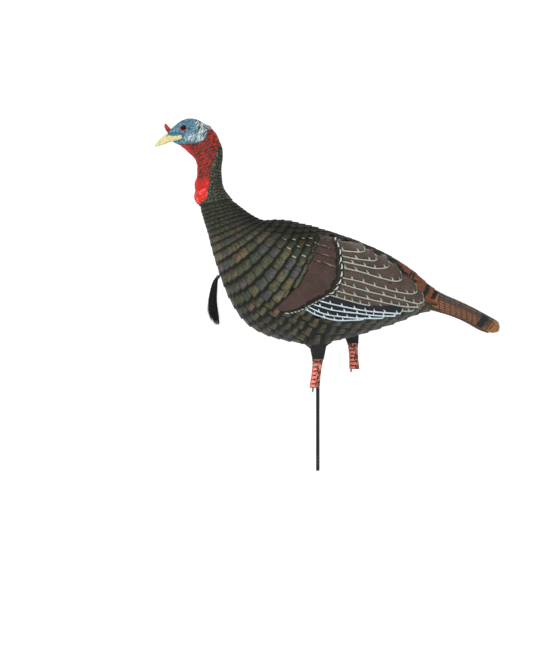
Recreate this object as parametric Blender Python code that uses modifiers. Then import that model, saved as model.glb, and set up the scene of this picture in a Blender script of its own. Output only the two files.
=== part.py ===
"""A standing young-turkey decoy on its ground stake.

Metres, +Z up. The bird faces -X, so its left side is -Y. The origin is the centre of the
stake's lower end. The bird turns and lifts off on the stake, its head turns on a spigot in
the neck, and its hair beard swings on a ball in the breast.

Outlines are rows of whole millimetres in the bird's plane of symmetry, chosen by hand.
"""

import math

import bmesh
import bpy
from mathutils import Matrix, Vector
from mathutils.bvhtree import BVHTree

MM = 0.001
GAP = 0.3  # mm, left between pieces that touch

# Rows of an outline: back x, back z, front x, front z, half width (mm).
# The body runs from the neck seam down and back to the rump.
BODY_ROWS = [
    (-220, 700, -304, 684, 41),
    (-194, 679, -295, 652, 46),
    (-166, 660, -284, 618, 56),
    (-140, 649, -274, 579, 68),
    (-111, 650, -262, 540, 82),
    (-77, 648, -246, 493, 97),
    (-44, 640, -223, 440, 110),
    (-10, 632, -187, 388, 119),
    (24, 620, -140, 358, 124),
    (58, 607, -85, 343, 125),
    (92, 596, -31, 337, 122),
    (125, 581, 24, 341, 115),
    (159, 566, 79, 350, 106),
    (190, 549, 133, 365, 94),
    (222, 530, 183, 381, 80),
    (248, 513, 222, 395, 66),
    (268, 495, 250, 407, 54),
    (287, 480, 274, 414, 45),
    (300, 470, 290, 419, 41),
]
# The head runs from above the seam, up the neck and forward to the beak.
HEAD_ROWS = [
    (-235, 718, -314, 706, 35.5),
    (-247, 738, -318, 732, 31.5),
    (-251, 761, -315, 761, 29.5),
    (-252, 787, -313, 790, 28.5),
    (-249, 813, -315, 812, 28.5),
    (-250, 839, -332, 829, 29),
    (-258, 864, -348, 839, 29),
    (-272, 886, -358, 846, 28.5),
    (-291, 901, -366, 850, 28),
    (-311, 912, -373, 853, 27.5),
    (-332, 916, -378, 856, 26),
    (-352, 911, -383, 860, 23),
    (-369, 899, -387, 862, 18.5),
    (-382, 888, -391, 864, 13),
    (-389, 880, -393, 868, 9),
]
# The beak runs from the corners of the gape to the tip.
BEAK_ROWS = [
    (-352, 868, -352, 857, 25),
    (-369, 870, -369, 856, 22.5),
    (-382, 871, -382, 855, 18),
    (-390, 877, -393, 852, 13),
    (-401, 869, -404, 847, 9),
    (-413, 860, -413, 844, 5.5),
    (-421, 850, -420, 844, 2.5),
]
SNOOD_ROWS = [
    (-378, 885, -387, 877, 5.5),
    (-385, 891, -395, 884, 6),
    (-388, 896, -399, 890, 5.5),
    (-391, 901, -401, 896, 4.5),
    (-396, 904, -400, 901, 2.5),
]
# The tail fan is folded, so it is an arched shell from the rump to the tip.
TAIL_ROWS = [
    (301, 469, 291, 420, 41),
    (330, 454, 320, 412, 43),
    (362, 440, 353, 402, 46),
    (398, 423, 388, 387, 49),
    (440, 400, 424, 367, 51),
    (461, 388, 448, 358, 50),
    (470, 376, 460, 356, 43),
]
# Outline of a folded wing in side view, as lower and upper points (x, z).
WING_LOWER = [(-107, 426), (-88, 414), (-38, 416), (1, 402), (58, 393), (123, 395), (185, 401),
              (237, 422), (268, 439), (285, 447)]
WING_UPPER = [(-105, 436), (-59, 475), (-28, 522), (-11, 569), (11, 606), (66, 593), (125, 571),
              (188, 541), (242, 501), (287, 457)]
# The hair beard's line, from inside its ferrule to the tip: x, z, radius.
BEARD_ROWS = [(-258.8, 504.2, 3.4), (-262, 501.3, 3.4), (-266, 494, 5.0), (-269.5, 485, 6.8),
              (-272, 475, 8.0), (-274, 452, 10.0), (-273, 428, 12.0), (-270, 405, 12.0),
              (-266, 383, 10.0)]

BODY_ROUNDNESS = 0.93  # exponent of a section's sine and cosine; 1 is an ellipse
SHELL_WALL = 3.0
WING_WALL = 4.0
WING_CLEARANCE = 2.6
TAIL_WALL = 5.0
TAIL_SQUARENESS = 0.75  # exponent of the arch's sine and cosine
TRIM_GAP = 0.9  # mm, left between the body's surface and pieces trimmed to it

# Thighs moulded under the body: x, y, drop (mm), then the spread of each bulge.
THIGHS = {"left": (-2, -52, 30), "right": (86, 50, 6)}
THIGH_LENGTH = 30
THIGH_WIDTH = 30
# Legs: x of the collar's top and foot, z of the collar's foot, x and z of the leg's foot,
# x and z of the core's lower end.
LEGS = {"left": (-1, -1, 291, -10, 219, -15, 207), "right": (87, 94, 331, 98, 264, 89, 255)}
LEG_TOP_SIZE = (13.5, 10)
LEG_WAIST_SIZE = (12, 8.5)
LEG_FOOT_SIZE = (13, 9)
COLLAR_TOP_RADIUS = 23
COLLAR_FOOT_RADIUS = 15
COLLAR_TOP_ABOVE_FOOT = 40
COLLAR_FLATNESS = 0.82  # its width across the bird over its length
CORE_RADIUS = 2.0
CORE_TOP_ABOVE_COLLAR_FOOT = 52

ROD_RADIUS = 4.75
ROD_TOP = 575
ROD_JOINT = 146
SPIGOT_RADIUS = 2.6
SPIGOT_LENGTH = 28
THIMBLE_STEM_RADIUS = 2.0
THIMBLE_STEM_LENGTH = 12
THIMBLE_TOP = 589
TUBE_RADIUS = 8.5
TUBE_BORE = 5.15
TUBE_FOOT = 331
TUBE_TOP = 586
BOSS_RADIUS = 20
FLANGE_RADIUS = 21
FLANGE_FOOT = 323

NECK_BORE = 15.4
NECK_SPIGOT_RADIUS = 15.0
NECK_SPIGOT_WALL = 3.0
NECK_SPIGOT_UP = 30
NECK_SPIGOT_DOWN = 46
NECK_SOCKET_DEPTH = 34
NECK_SOCKET_WALL = 4.0
SEAM_GAP = 0.6

EYE_RADIUS = 7.0
EYE_AT = (-348, 888)
EYE_INSET = 4.0

BEARD_BALL = (-249.5, 512.5)
BALL_RADIUS = 4.4
FERRULE_DIP = 41.6  # degrees that the hanging beard's ferrule points below -X
BREAST_DIP = 17  # degrees that the breast's outward normal points below -X
GROMMET_RADIUS = 9.0
MOUTH_HALF_ANGLE = 60  # degrees; the mouth is narrower than the ball

TAIL_PEG_RADIUS = 6
TAIL_PEG_AT = (296, 444)
TAIL_DIP = 20  # degrees that the peg points below +X
TAIL_ROOT_LENGTH = 20

# How finely pieces are faceted: rings and points around a ring.
BODY_GRID = (32, 32)
WING_GRID = (22, 9)
TURN_STEPS = 24


# ---- helpers -------------------------------------------------------------------------


def material(name, colour, roughness, metallic=0.0):
    made = bpy.data.materials.new(name)
    made.use_nodes = True
    shader = made.node_tree.nodes["Principled BSDF"]
    shader.inputs["Base Color"].default_value = (*colour, 1)
    shader.inputs["Roughness"].default_value = roughness
    shader.inputs["Metallic"].default_value = metallic
    made.diffuse_color = (*colour, 1)
    return made


def collection(name):
    made = bpy.data.collections.new(name)
    bpy.context.scene.collection.children.link(made)
    return made


def add(name, mesh, finish):
    """A part of the decoy: its object, smooth with sharp edges, in the part's finish."""
    mesh.materials.append(finish)
    if mesh.polygons:
        mesh.shade_smooth()
        mesh.set_sharp_from_angle(angle=math.radians(40))
    made = bpy.data.objects.new(name, mesh)
    PARTS.objects.link(made)
    return made


def helper(made):
    """Turns an object into a cutter, which the build leaves out."""
    for home in list(made.users_collection):
        home.objects.unlink(made)
    CUTTERS.objects.link(made)
    made.hide_render = True
    made.display_type = "WIRE"
    return made


def boolean(target, cutter, operation="DIFFERENCE"):
    modifier = target.modifiers.new(cutter.name, "BOOLEAN")
    modifier.object = cutter
    modifier.operation = operation


def solidify(target, wall, offset):
    modifier = target.modifiers.new("wall", "SOLIDIFY")
    modifier.thickness = wall * MM
    modifier.offset = offset


def along(rows, t):
    """The row at t on a smooth curve through rows, where t counts rows from 0."""
    last = len(rows) - 1
    i = min(int(t), last - 1)
    f = t - i
    before, start, end, after = (rows[min(max(i + k, 0), last)] for k in (-1, 0, 1, 2))
    return [
        0.5 * (2 * q + f * (r - p) + f * f * (2 * p - 5 * q + 4 * r - s) + f**3 * (3 * q - p - 3 * r + s))
        for p, q, r, s in zip(before, start, end, after)
    ]


def section_point(row, angle, swell=0.0, roundness=1.0):
    """A point of the oval section that a row spans, at an angle from its back, swollen by swell."""
    back = Vector((row[0], 0, row[1]))
    front = Vector((row[2], 0, row[3]))
    up = math.copysign(abs(math.cos(angle)) ** roundness, math.cos(angle))
    aside = math.copysign(abs(math.sin(angle)) ** roundness, math.sin(angle))
    reach = (back - front) / 2 * up + Vector((0, row[4] * aside, 0))
    return (back + front) / 2 + reach * (1 + swell / reach.length)


def surface(name, point_at, rings, around, join="round"):
    """A lofted mesh from point_at(ring share, section share), which gives millimetres.

    A "round" section closes on itself, an "arch" stays open, and a "chord" joins the arch's
    ends straight across. Capped solids come from solid(), which fills the two end sections.
    """
    mesh = bpy.data.meshes.new(name)
    loft = bmesh.new()
    columns = around if join == "round" else around + 1
    grid = [
        [loft.verts.new(point_at(i / rings, j / around) * MM) for j in range(columns)]
        for i in range(rings + 1)
    ]
    for near, far in zip(grid, grid[1:]):
        for j in range(columns if join != "arch" else around):
            k = (j + 1) % columns
            loft.faces.new((near[j], near[k], far[k], far[j]))
    bmesh.ops.triangulate(loft, faces=loft.faces, quad_method="FIXED")
    bmesh.ops.recalc_face_normals(loft, faces=loft.faces)
    loft.to_mesh(mesh)
    loft.free()
    return mesh


def solid(name, point_at, rings, around, join="round"):
    """The surface of the same arguments with its end sections filled in."""
    mesh = surface(name, point_at, rings, around, join)
    filled = bmesh.new()
    filled.from_mesh(mesh)
    bmesh.ops.holes_fill(filled, edges=filled.edges)
    bmesh.ops.recalc_face_normals(filled, faces=filled.faces)
    filled.to_mesh(mesh)
    filled.free()
    return mesh


def oval_loft(name, rows, rings, around, swell=0.0):
    """A closed solid of oval sections along rows."""

    def point_at(share, turn):
        return section_point(along(rows, share * (len(rows) - 1)), turn * math.tau, swell)

    return solid(name, point_at, rings, around)


def turned(name, profile, finish, at=(0, 0, 0), tilt=0.0, closed=False):
    """A turned part from (radius, height) points, down its outer side, in millimetres.

    It stands at a place, and tilt leans its axis forward, towards -X, in degrees.
    """
    mesh = bpy.data.meshes.new(name)
    edges = [(i, i + 1) for i in range(len(profile) - 1)]
    if closed:
        edges.append((len(profile) - 1, 0))
    mesh.from_pydata([(r * MM, 0, z * MM) for r, z in profile], edges, [])
    made = add(name, mesh, finish)
    screw = made.modifiers.new("turn", "SCREW")
    screw.steps = screw.render_steps = TURN_STEPS
    screw.use_merge_vertices = True
    screw.merge_threshold = 0.00001
    screw.use_smooth_shade = True
    made.location = Vector(at) * MM
    made.rotation_euler = (0, math.radians(-tilt), 0)
    return made


def ring(outer, inner, top, foot):
    """The closed profile of a plain turned ring."""
    return [(outer, top), (outer, foot), (inner, foot), (inner, top)]


def disc(radius, top, foot):
    """The profile of a plain turned disc."""
    return [(0, top), (radius, top), (radius, foot), (0, foot)]


def rod_between(name, start, end, radius, steps=16):
    """A round rod from start to end, as a mesh with its place in its vertices."""
    line = Vector(end) - Vector(start)
    middle = (Vector(end) + Vector(start)) / 2 * MM
    pose = Matrix.Translation(middle) @ line.to_track_quat("Z", "Y").to_matrix().to_4x4()
    mesh = bpy.data.meshes.new(name)
    rod = bmesh.new()
    bmesh.ops.create_cone(rod, cap_ends=True, segments=steps, radius1=radius * MM,
                          radius2=radius * MM, depth=line.length * MM, matrix=pose)
    rod.to_mesh(mesh)
    rod.free()
    return mesh


# ---- the body's surface --------------------------------------------------------------


def body_point(share, turn, swell=0.0):
    """A point of the body's outer surface, thighs included, in millimetres."""
    point = section_point(along(BODY_ROWS, share * (len(BODY_ROWS) - 1)), turn * math.tau,
                          swell, BODY_ROUNDNESS)
    underside = max(0.0, -math.cos(turn * math.tau)) ** 0.5
    for x, y, drop in THIGHS.values():
        spread = ((point.x - x) / THIGH_LENGTH) ** 2 + ((point.y - y) / THIGH_WIDTH) ** 2
        point.z -= drop * underside * math.exp(-spread)
    return point


def make_body():
    """The hollow shell, with solids a little larger and smaller to trim its neighbours."""
    shell = add("body_shell", surface("body_shell", body_point, *BODY_GRID), FEATHERS)
    solidify(shell, SHELL_WALL, -1)
    trims = []
    for name, swell in (("envelope", TRIM_GAP), ("core", -SHELL_WALL - TRIM_GAP)):
        mesh = solid(name, lambda share, turn, s=swell: body_point(share, turn, s), *BODY_GRID)
        trims.append(helper(add(name, mesh, FEATHERS)))
    return shell, *trims


def wing_surface(name, side, envelope_tree):
    """A folded wing's inner face, lying just off the body's side."""

    def point_at(share, height):
        lower = along(WING_LOWER, share * (len(WING_LOWER) - 1))
        upper = along(WING_UPPER, share * (len(WING_UPPER) - 1))
        x = lower[0] + (upper[0] - lower[0]) * height
        z = lower[1] + (upper[1] - lower[1]) * height
        start = Vector((x * MM, side * 1.0, z * MM))
        hit = envelope_tree.ray_cast(start, Vector((0, -side, 0)))[0]
        return Vector((x, hit.y / MM + side * WING_CLEARANCE, z))

    mesh = surface(name, point_at, *WING_GRID, join="arch")
    flat = bmesh.new()
    flat.from_mesh(mesh)
    outward = sum((face.normal.y for face in flat.faces), 0.0) * side
    if outward < 0:
        bmesh.ops.reverse_faces(flat, faces=flat.faces)
    flat.to_mesh(mesh)
    flat.free()
    return mesh


def make_wings(envelope):
    tree = BVHTree.FromPolygons([v.co for v in envelope.data.vertices],
                                [p.vertices for p in envelope.data.polygons])
    for name, side in (("wing_left", -1), ("wing_right", 1)):
        wing = add(name, wing_surface(name, side, tree), WING_PAINT)
        solidify(wing, WING_WALL, 1)


# ---- stake and its bearing in the body -----------------------------------------------


def make_stake():
    joint_foot = ROD_JOINT - SPIGOT_LENGTH
    lower = [(0, ROD_JOINT), (ROD_RADIUS - 0.5, ROD_JOINT), (ROD_RADIUS, ROD_JOINT - 0.5),
             (ROD_RADIUS, 1), (ROD_RADIUS - 1, 0), (0, 0)]
    # The lower half's bore takes the upper half's spigot.
    lower = [(SPIGOT_RADIUS + GAP, joint_foot - 2), (SPIGOT_RADIUS + GAP, ROD_JOINT)] + lower[1:]
    lower = [(0, joint_foot - 2)] + lower
    turned("stake_lower", lower, STEEL)
    seat = ROD_TOP - THIMBLE_STEM_LENGTH - 1
    upper = [(0, seat), (THIMBLE_STEM_RADIUS + GAP, seat), (THIMBLE_STEM_RADIUS + GAP, ROD_TOP),
             (ROD_RADIUS - 0.5, ROD_TOP), (ROD_RADIUS, ROD_TOP - 0.5), (ROD_RADIUS, ROD_JOINT + 0.5 + GAP),
             (ROD_RADIUS - 0.5, ROD_JOINT + GAP), (SPIGOT_RADIUS, ROD_JOINT + GAP),
             (SPIGOT_RADIUS, joint_foot), (0, joint_foot)]
    turned("stake_upper", upper, STEEL)
    shoulder = TUBE_TOP - GAP
    neck = ROD_RADIUS - 0.3
    thimble = [(0, THIMBLE_TOP), (1.2, THIMBLE_TOP), (neck, shoulder), (neck, ROD_TOP + GAP),
               (THIMBLE_STEM_RADIUS, ROD_TOP + GAP), (THIMBLE_STEM_RADIUS, ROD_TOP - THIMBLE_STEM_LENGTH),
               (0, ROD_TOP - THIMBLE_STEM_LENGTH)]
    turned("bearing_thimble", thimble, NYLON)


def make_stake_socket(shell, envelope, core):
    turned("stake_tube", ring(TUBE_RADIUS, TUBE_BORE, TUBE_TOP, TUBE_FOOT), NYLON, closed=True)
    cap_foot = TUBE_TOP + GAP
    recess = THIMBLE_TOP + 1.3 * GAP
    boss = [(0, 660), (BOSS_RADIUS, 660), (BOSS_RADIUS - 4, cap_foot), (TUBE_BORE, cap_foot),
            (1.8, recess), (0, recess)]
    boolean(turned("tube_top_boss", boss, NYLON), core, "INTERSECT")
    flange = turned("belly_flange", ring(FLANGE_RADIUS, TUBE_RADIUS + GAP, 350, FLANGE_FOOT), RUBBER,
                    closed=True)
    boolean(flange, envelope)
    entry = turned("stake_entry_cutter", disc(TUBE_RADIUS + 1, 400, 300), RUBBER)
    boolean(shell, helper(entry))


# ---- legs ----------------------------------------------------------------------------


def make_leg(side, shell, envelope):
    _, y, _ = THIGHS[side]
    collar_top_x, collar_foot_x, collar_foot_z, foot_x, foot_z, core_x, core_z = LEGS[side]
    collar_top_z = collar_foot_z + COLLAR_TOP_ABOVE_FOOT
    core_top = Vector((collar_foot_x + 3, y, collar_foot_z + CORE_TOP_ABOVE_COLLAR_FOOT))
    core_end = Vector((core_x, y, core_z))

    def oval(x, z, half_length, half_width, turn):
        angle = turn * math.tau
        return Vector((x + half_length * math.cos(angle), y + half_width * math.sin(angle), z))

    def collar_point(share, turn):
        radius = COLLAR_TOP_RADIUS + (COLLAR_FOOT_RADIUS - COLLAR_TOP_RADIUS) * share
        x = collar_top_x + (collar_foot_x - collar_top_x) * share
        z = collar_top_z + (collar_foot_z - collar_top_z) * share
        return oval(x, z, radius, radius * COLLAR_FLATNESS, turn)

    def leg_point(share, turn):
        size = along([LEG_TOP_SIZE, LEG_WAIST_SIZE, LEG_FOOT_SIZE], share * 2)
        x = collar_foot_x + (foot_x - collar_foot_x) * share
        z = collar_foot_z - GAP + (foot_z - collar_foot_z) * share
        return oval(x, z, *size, turn)

    collar = add(f"leg_collar_{side}", solid(f"leg_collar_{side}", collar_point, 3, 24), RUBBER)
    leg = add(f"leg_{side}", solid(f"leg_{side}", leg_point, 6, 20), LEG_SKIN)
    add(f"leg_core_{side}", rod_between(f"leg_core_{side}", core_top, core_end, CORE_RADIUS), STEEL)
    bore = rod_between(f"core_bore_{side}", core_top + Vector((0, 0, 4)), core_end, CORE_RADIUS + 1.5 * GAP)
    bore = helper(add(f"core_bore_{side}", bore, STEEL))
    boolean(collar, envelope)
    for piece in (shell, collar, leg):
        boolean(piece, bore)


# ---- head and neck -------------------------------------------------------------------


def neck_frame():
    """The seam's centre (mm) and the neck axis's lean towards -X, in degrees."""
    back_x, back_z, front_x, front_z, _ = BODY_ROWS[0]
    lean = math.atan2(back_z - front_z, back_x - front_x)
    return Vector(((back_x + front_x) / 2, 0, (back_z + front_z) / 2)), math.degrees(lean)


def head_rows():
    """The head's sections, the first of them the body's seam section raised by the seam's gap."""
    _, lean = neck_frame()
    back_x, back_z, front_x, front_z, half_width = BODY_ROWS[0]
    dx = -SEAM_GAP * math.sin(math.radians(lean))
    dz = SEAM_GAP * math.cos(math.radians(lean))
    return [(back_x + dx, back_z + dz, front_x + dx, front_z + dz, half_width), *HEAD_ROWS]


def make_head():
    centre, lean = neck_frame()
    head = add("head_casting", oval_loft("head_casting", head_rows(), 26, 24), HEAD_PAINT)
    beak = add("beak", oval_loft("beak", BEAK_ROWS, 12, 16), HORN)
    beak_pocket = oval_loft("beak_pocket", BEAK_ROWS, 12, 16, swell=GAP)
    boolean(head, helper(add("beak_pocket", beak_pocket, HORN)))
    add("snood", oval_loft("snood", SNOOD_ROWS, 6, 12), SNOOD_SKIN)
    snood_pocket = oval_loft("snood_pocket", SNOOD_ROWS, 6, 12, swell=GAP)
    boolean(head, helper(add("snood_pocket", snood_pocket, HORN)))
    boolean(beak, bpy.data.objects["snood_pocket"])
    make_eyes(head)
    blind_bore = turned("neck_blind_bore", disc(NECK_SPIGOT_RADIUS + GAP, NECK_SPIGOT_UP + GAP, -20), NYLON,
                        at=centre, tilt=lean)
    boolean(head, helper(blind_bore))
    turned("neck_spigot",
           ring(NECK_SPIGOT_RADIUS, NECK_SPIGOT_RADIUS - NECK_SPIGOT_WALL, NECK_SPIGOT_UP,
                -NECK_SPIGOT_DOWN), NYLON, at=centre, tilt=lean, closed=True)


def make_eyes(head):
    surface_tree = BVHTree.FromPolygons([v.co for v in head.data.vertices],
                                        [p.vertices for p in head.data.polygons])
    x, z = EYE_AT
    for name, side in (("eye_left", -1), ("eye_right", 1)):
        hit = surface_tree.ray_cast(Vector((x, side * 100, z)) * MM, Vector((0, -side, 0)))[0]
        centre = Vector((x, hit.y / MM - side * EYE_INSET, z))
        for piece, radius in ((name, EYE_RADIUS), (f"{name}_pocket", EYE_RADIUS + GAP)):
            mesh = bpy.data.meshes.new(piece)
            ball = bmesh.new()
            bmesh.ops.create_uvsphere(ball, u_segments=16, v_segments=10, radius=radius * MM,
                                      matrix=Matrix.Translation(centre * MM))
            ball.to_mesh(mesh)
            ball.free()
            add(piece, mesh, EYE_GLASS)
        boolean(head, helper(bpy.data.objects[f"{name}_pocket"]))


def make_neck_joint(core):
    centre, lean = neck_frame()
    sleeve = NECK_BORE + NECK_SOCKET_WALL
    profile = [(60, 4), (60, -6), (sleeve + 4, -9), (sleeve, -13), (sleeve, -NECK_SOCKET_DEPTH),
               (NECK_BORE, -NECK_SOCKET_DEPTH), (NECK_BORE, 4)]
    boolean(turned("neck_socket", profile, NYLON, at=centre, tilt=lean, closed=True), core, "INTERSECT")
    clip_top = -NECK_SOCKET_DEPTH - 2
    clip = ring(NECK_BORE + 3, NECK_SPIGOT_RADIUS + GAP, clip_top, clip_top - 4)
    turned("neck_retaining_ring", clip, STEEL, at=centre, tilt=lean, closed=True)


# ---- tail ----------------------------------------------------------------------------


def arch_point(row, angle, swell=0.0):
    """A point of the arch that a row spans, from -90 to 90 degrees, swollen by swell."""
    top = Vector((row[0], 0, row[1]))
    foot = Vector((row[2], 0, row[3]))
    up = abs(math.cos(angle)) ** TAIL_SQUARENESS
    aside = math.copysign(abs(math.sin(angle)) ** TAIL_SQUARENESS, math.sin(angle))
    reach = (top - foot) * up + Vector((0, row[4] * aside, 0))
    return foot + reach * (1 + swell / reach.length)


def make_tail(core):
    last = len(TAIL_ROWS) - 1

    def fan_point(share, turn):
        return arch_point(along(TAIL_ROWS, share * last), (turn - 0.5) * math.pi)

    def root_point(share, turn):
        row = along(TAIL_ROWS, 0.05 + share * TAIL_ROOT_LENGTH / 29)
        return arch_point(row, (turn - 0.5) * math.pi * 0.96, -TAIL_WALL - TRIM_GAP)

    fan = add("tail_fan", surface("tail_fan", fan_point, 14, 18, join="arch"), TAIL_PAINT)
    solidify(fan, TAIL_WALL, -1)
    root = add("tail_root_block", solid("tail_root_block", root_point, 2, 18, join="chord"), NYLON)
    x, z = TAIL_PEG_AT
    lean = -(90 + TAIL_DIP)
    turned("tail_peg", disc(TAIL_PEG_RADIUS, 22, -20), NYLON, at=(x, 0, z), tilt=lean)
    bore = turned("tail_peg_bore", disc(TAIL_PEG_RADIUS + GAP, 60, -40), NYLON, at=(x, 0, z), tilt=lean)
    boolean(root, helper(bore))
    plate = ring(60, TAIL_PEG_RADIUS + GAP, -7, -15)
    boolean(turned("tail_bulkhead", plate, NYLON, at=(x, 0, z), tilt=lean, closed=True), core, "INTERSECT")


# ---- beard ---------------------------------------------------------------------------


def make_beard(shell):
    at = (BEARD_BALL[0], 0, BEARD_BALL[1])
    cup = BALL_RADIUS + 0.4

    def arc(radius, start, end, points):
        """Points of a ball's outline, at angles in degrees from its axis."""
        angles = [math.radians(start + (end - start) * i / points) for i in range(points + 1)]
        return [(radius * math.sin(a), radius * math.cos(a)) for a in angles]

    cavity = arc(cup, 180, MOUTH_HALF_ANGLE, 7)
    cavity[0] = (0, -cup)
    grommet = [(7.6, 4.7), (GROMMET_RADIUS + 2, 4.7), (GROMMET_RADIUS + 2, 4.0), (GROMMET_RADIUS, 4.0),
               (GROMMET_RADIUS, -cup - 1.5), (0, -cup - 1.5)]
    turned("beard_grommet", cavity + grommet, RUBBER, at=at, tilt=90 + BREAST_DIP)
    hole = turned("grommet_hole", disc(GROMMET_RADIUS + GAP, 30, -20), RUBBER, at=at, tilt=90 + BREAST_DIP)
    boolean(shell, helper(hole))

    ball = arc(BALL_RADIUS, 24, 180, 8)
    ball[-1] = (0, -BALL_RADIUS)
    ferrule = [(0, 12), (3.7, 12), (3.7, 16.5), (4.7, 16.5), (4.7, 10.5), (1.8, 8), *ball]
    turned("beard_ferrule", ferrule, STEEL, at=at, tilt=90 + FERRULE_DIP)

    def hair_point(share, turn):
        t = share * (len(BEARD_ROWS) - 1)
        x, z, radius = along(BEARD_ROWS, t)
        ahead, behind = along(BEARD_ROWS, t + 0.01), along(BEARD_ROWS, max(t - 0.01, 0))
        line = Vector((ahead[0] - behind[0], 0, ahead[1] - behind[1])).normalized()
        across = line.cross(Vector((0, 1, 0)))
        angle = turn * math.tau
        return Vector((x, 0, z)) + (across * math.cos(angle) + Vector((0, math.sin(angle), 0))) * radius

    add("beard_bundle", solid("beard_bundle", hair_point, 16, 14), HAIR)


# ---- assembly ------------------------------------------------------------------------


def main():
    shell, envelope, core = make_body()
    make_wings(envelope)
    make_stake()
    make_stake_socket(shell, envelope, core)
    for side in THIGHS:
        make_leg(side, shell, envelope)
    make_neck_joint(core)
    make_head()
    make_tail(core)
    make_beard(shell)


for old in list(bpy.data.objects):
    bpy.data.objects.remove(old)
PARTS = collection("turkey_decoy")
CUTTERS = collection("cutters")
FEATHERS = material("moulded feathers", (0.055, 0.062, 0.038), 0.6)
WING_PAINT = material("wing paint", (0.075, 0.045, 0.035), 0.65)
TAIL_PAINT = material("tail paint", (0.30, 0.12, 0.05), 0.65)
HEAD_PAINT = material("head paint", (0.55, 0.04, 0.03), 0.5)
SNOOD_SKIN = material("snood", (0.55, 0.03, 0.03), 0.5)
HORN = material("horn", (0.70, 0.60, 0.30), 0.5)
EYE_GLASS = material("eye", (0.01, 0.01, 0.01), 0.1)
LEG_SKIN = material("leg skin", (0.80, 0.22, 0.15), 0.6)
RUBBER = material("black rubber", (0.02, 0.02, 0.02), 0.7)
HAIR = material("horsehair", (0.01, 0.01, 0.01), 0.6)
NYLON = material("nylon", (0.03, 0.03, 0.03), 0.45)
STEEL = material("dark steel rod", (0.05, 0.05, 0.05), 0.4, 0.8)
main()
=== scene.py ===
"""The looks of a standing young-turkey decoy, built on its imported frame.

Meshes are in metres and the tables of outlines in millimetres. The bird faces -X and its
left side is -Y. Feathers are grids bent onto the body's smooth surface. Each point of a
feather keeps what its place on the feather is, and the paints read that.
"""

import math
import random

import bmesh
import bpy
from bpy.props import FloatProperty, FloatVectorProperty, IntProperty, PointerProperty
from mathutils import Matrix, Vector, noise
from mathutils.bvhtree import BVHTree


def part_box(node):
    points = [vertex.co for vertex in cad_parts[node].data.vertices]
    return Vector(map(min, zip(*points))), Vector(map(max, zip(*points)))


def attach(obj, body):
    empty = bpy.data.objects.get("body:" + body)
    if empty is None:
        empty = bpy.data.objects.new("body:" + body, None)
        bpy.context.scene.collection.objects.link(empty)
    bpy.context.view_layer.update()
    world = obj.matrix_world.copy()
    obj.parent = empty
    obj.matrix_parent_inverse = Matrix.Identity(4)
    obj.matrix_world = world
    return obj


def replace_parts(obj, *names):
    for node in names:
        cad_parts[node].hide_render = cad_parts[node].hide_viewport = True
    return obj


bl_info = {
    "name": "Turkey Decoy",
    "version": (1, 0, 0),
    "blender": (4, 5, 0),
    "location": "View3D > Sidebar > Decoy",
    "description": "Feathers, skin, legs and stake of a standing turkey decoy",
    "category": "Add Mesh",
}

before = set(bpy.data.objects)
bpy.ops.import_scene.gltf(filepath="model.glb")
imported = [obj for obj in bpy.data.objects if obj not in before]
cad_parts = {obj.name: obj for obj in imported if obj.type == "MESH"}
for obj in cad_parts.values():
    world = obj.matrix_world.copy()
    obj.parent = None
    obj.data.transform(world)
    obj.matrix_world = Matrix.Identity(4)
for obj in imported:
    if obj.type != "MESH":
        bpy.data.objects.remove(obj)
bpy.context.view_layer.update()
MM = 0.001

# Sections of the body from the neck seam to the rump: back x, back z, front x, front z, half width.
BODY_ROWS = [
    (-220, 700, -304, 684, 41), (-194, 679, -295, 652, 46), (-166, 660, -284, 618, 56),
    (-140, 649, -274, 579, 68), (-111, 650, -262, 540, 82), (-77, 648, -246, 493, 97),
    (-44, 640, -223, 440, 110), (-10, 632, -187, 388, 119), (24, 620, -140, 358, 124),
    (58, 607, -85, 343, 125), (92, 596, -31, 337, 122), (125, 581, 24, 341, 115),
    (159, 566, 79, 350, 106), (190, 549, 133, 365, 94), (222, 530, 183, 381, 80),
    (248, 513, 222, 395, 66), (268, 495, 250, 407, 54), (287, 480, 274, 414, 45),
    (300, 470, 290, 419, 41),
]
BODY_ROUNDNESS = 0.93
# Thighs under the body: x, y, how far each hangs down, and how far it spreads along and across.
THIGHS = [(-2, -52, 30, 30, 30), (86, 50, 6, 30, 30)]
# Sections of the head and neck from the seam to the base of the beak.
HEAD_ROWS = [
    (-220.1, 700.6, -304.1, 684.6, 41), (-235, 718, -314, 706, 35.5), (-247, 738, -318, 732, 31.5),
    (-251, 761, -315, 761, 29.5), (-252, 787, -313, 790, 28.5), (-249, 813, -320, 812, 28.5),
    (-250, 839, -336.5, 828, 29), (-258, 864, -348, 839, 29), (-272, 886, -358, 846, 28.5),
    (-291, 901, -366, 850, 28), (-311, 912, -373, 853, 27.5), (-332, 916, -378, 856, 26),
    (-352, 911, -383, 860, 23), (-369, 899, -387, 862, 18.5), (-382, 888, -391, 864, 13),
    (-389, 880, -393, 868, 9),
]
BEAK_ROWS = [
    (-352, 871.5, -352, 859, 24), (-353.5, 872, -353.5, 858.5, 28), (-360, 871, -360, 857.5, 27),
    (-370, 870.5, -370, 856.5, 23.5), (-380, 872, -380, 855.5, 18), (-388, 876.5, -389, 853, 14),
    (-393, 877.5, -396, 850, 11.5), (-401, 870.5, -404, 847, 9), (-410, 863, -411, 844.8, 6.4),
    (-418.5, 853.8, -418.5, 843.3, 3.6), (-423.5, 846.8, -423.5, 842.6, 1.4),
]
SNOOD_ROWS = [
    (-377, 885, -386, 877, 5), (-382, 889, -391.5, 881, 5.4), (-385.5, 892.5, -395.5, 885.5, 5.2),
    (-389, 896.5, -398, 891, 4.6), (-392, 900, -399.2, 896, 3.6),
    (-394.3, 902.2, -398.6, 899.8, 2.2), (-395.8, 903, -397.6, 901.6, 0.8),
]
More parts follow.
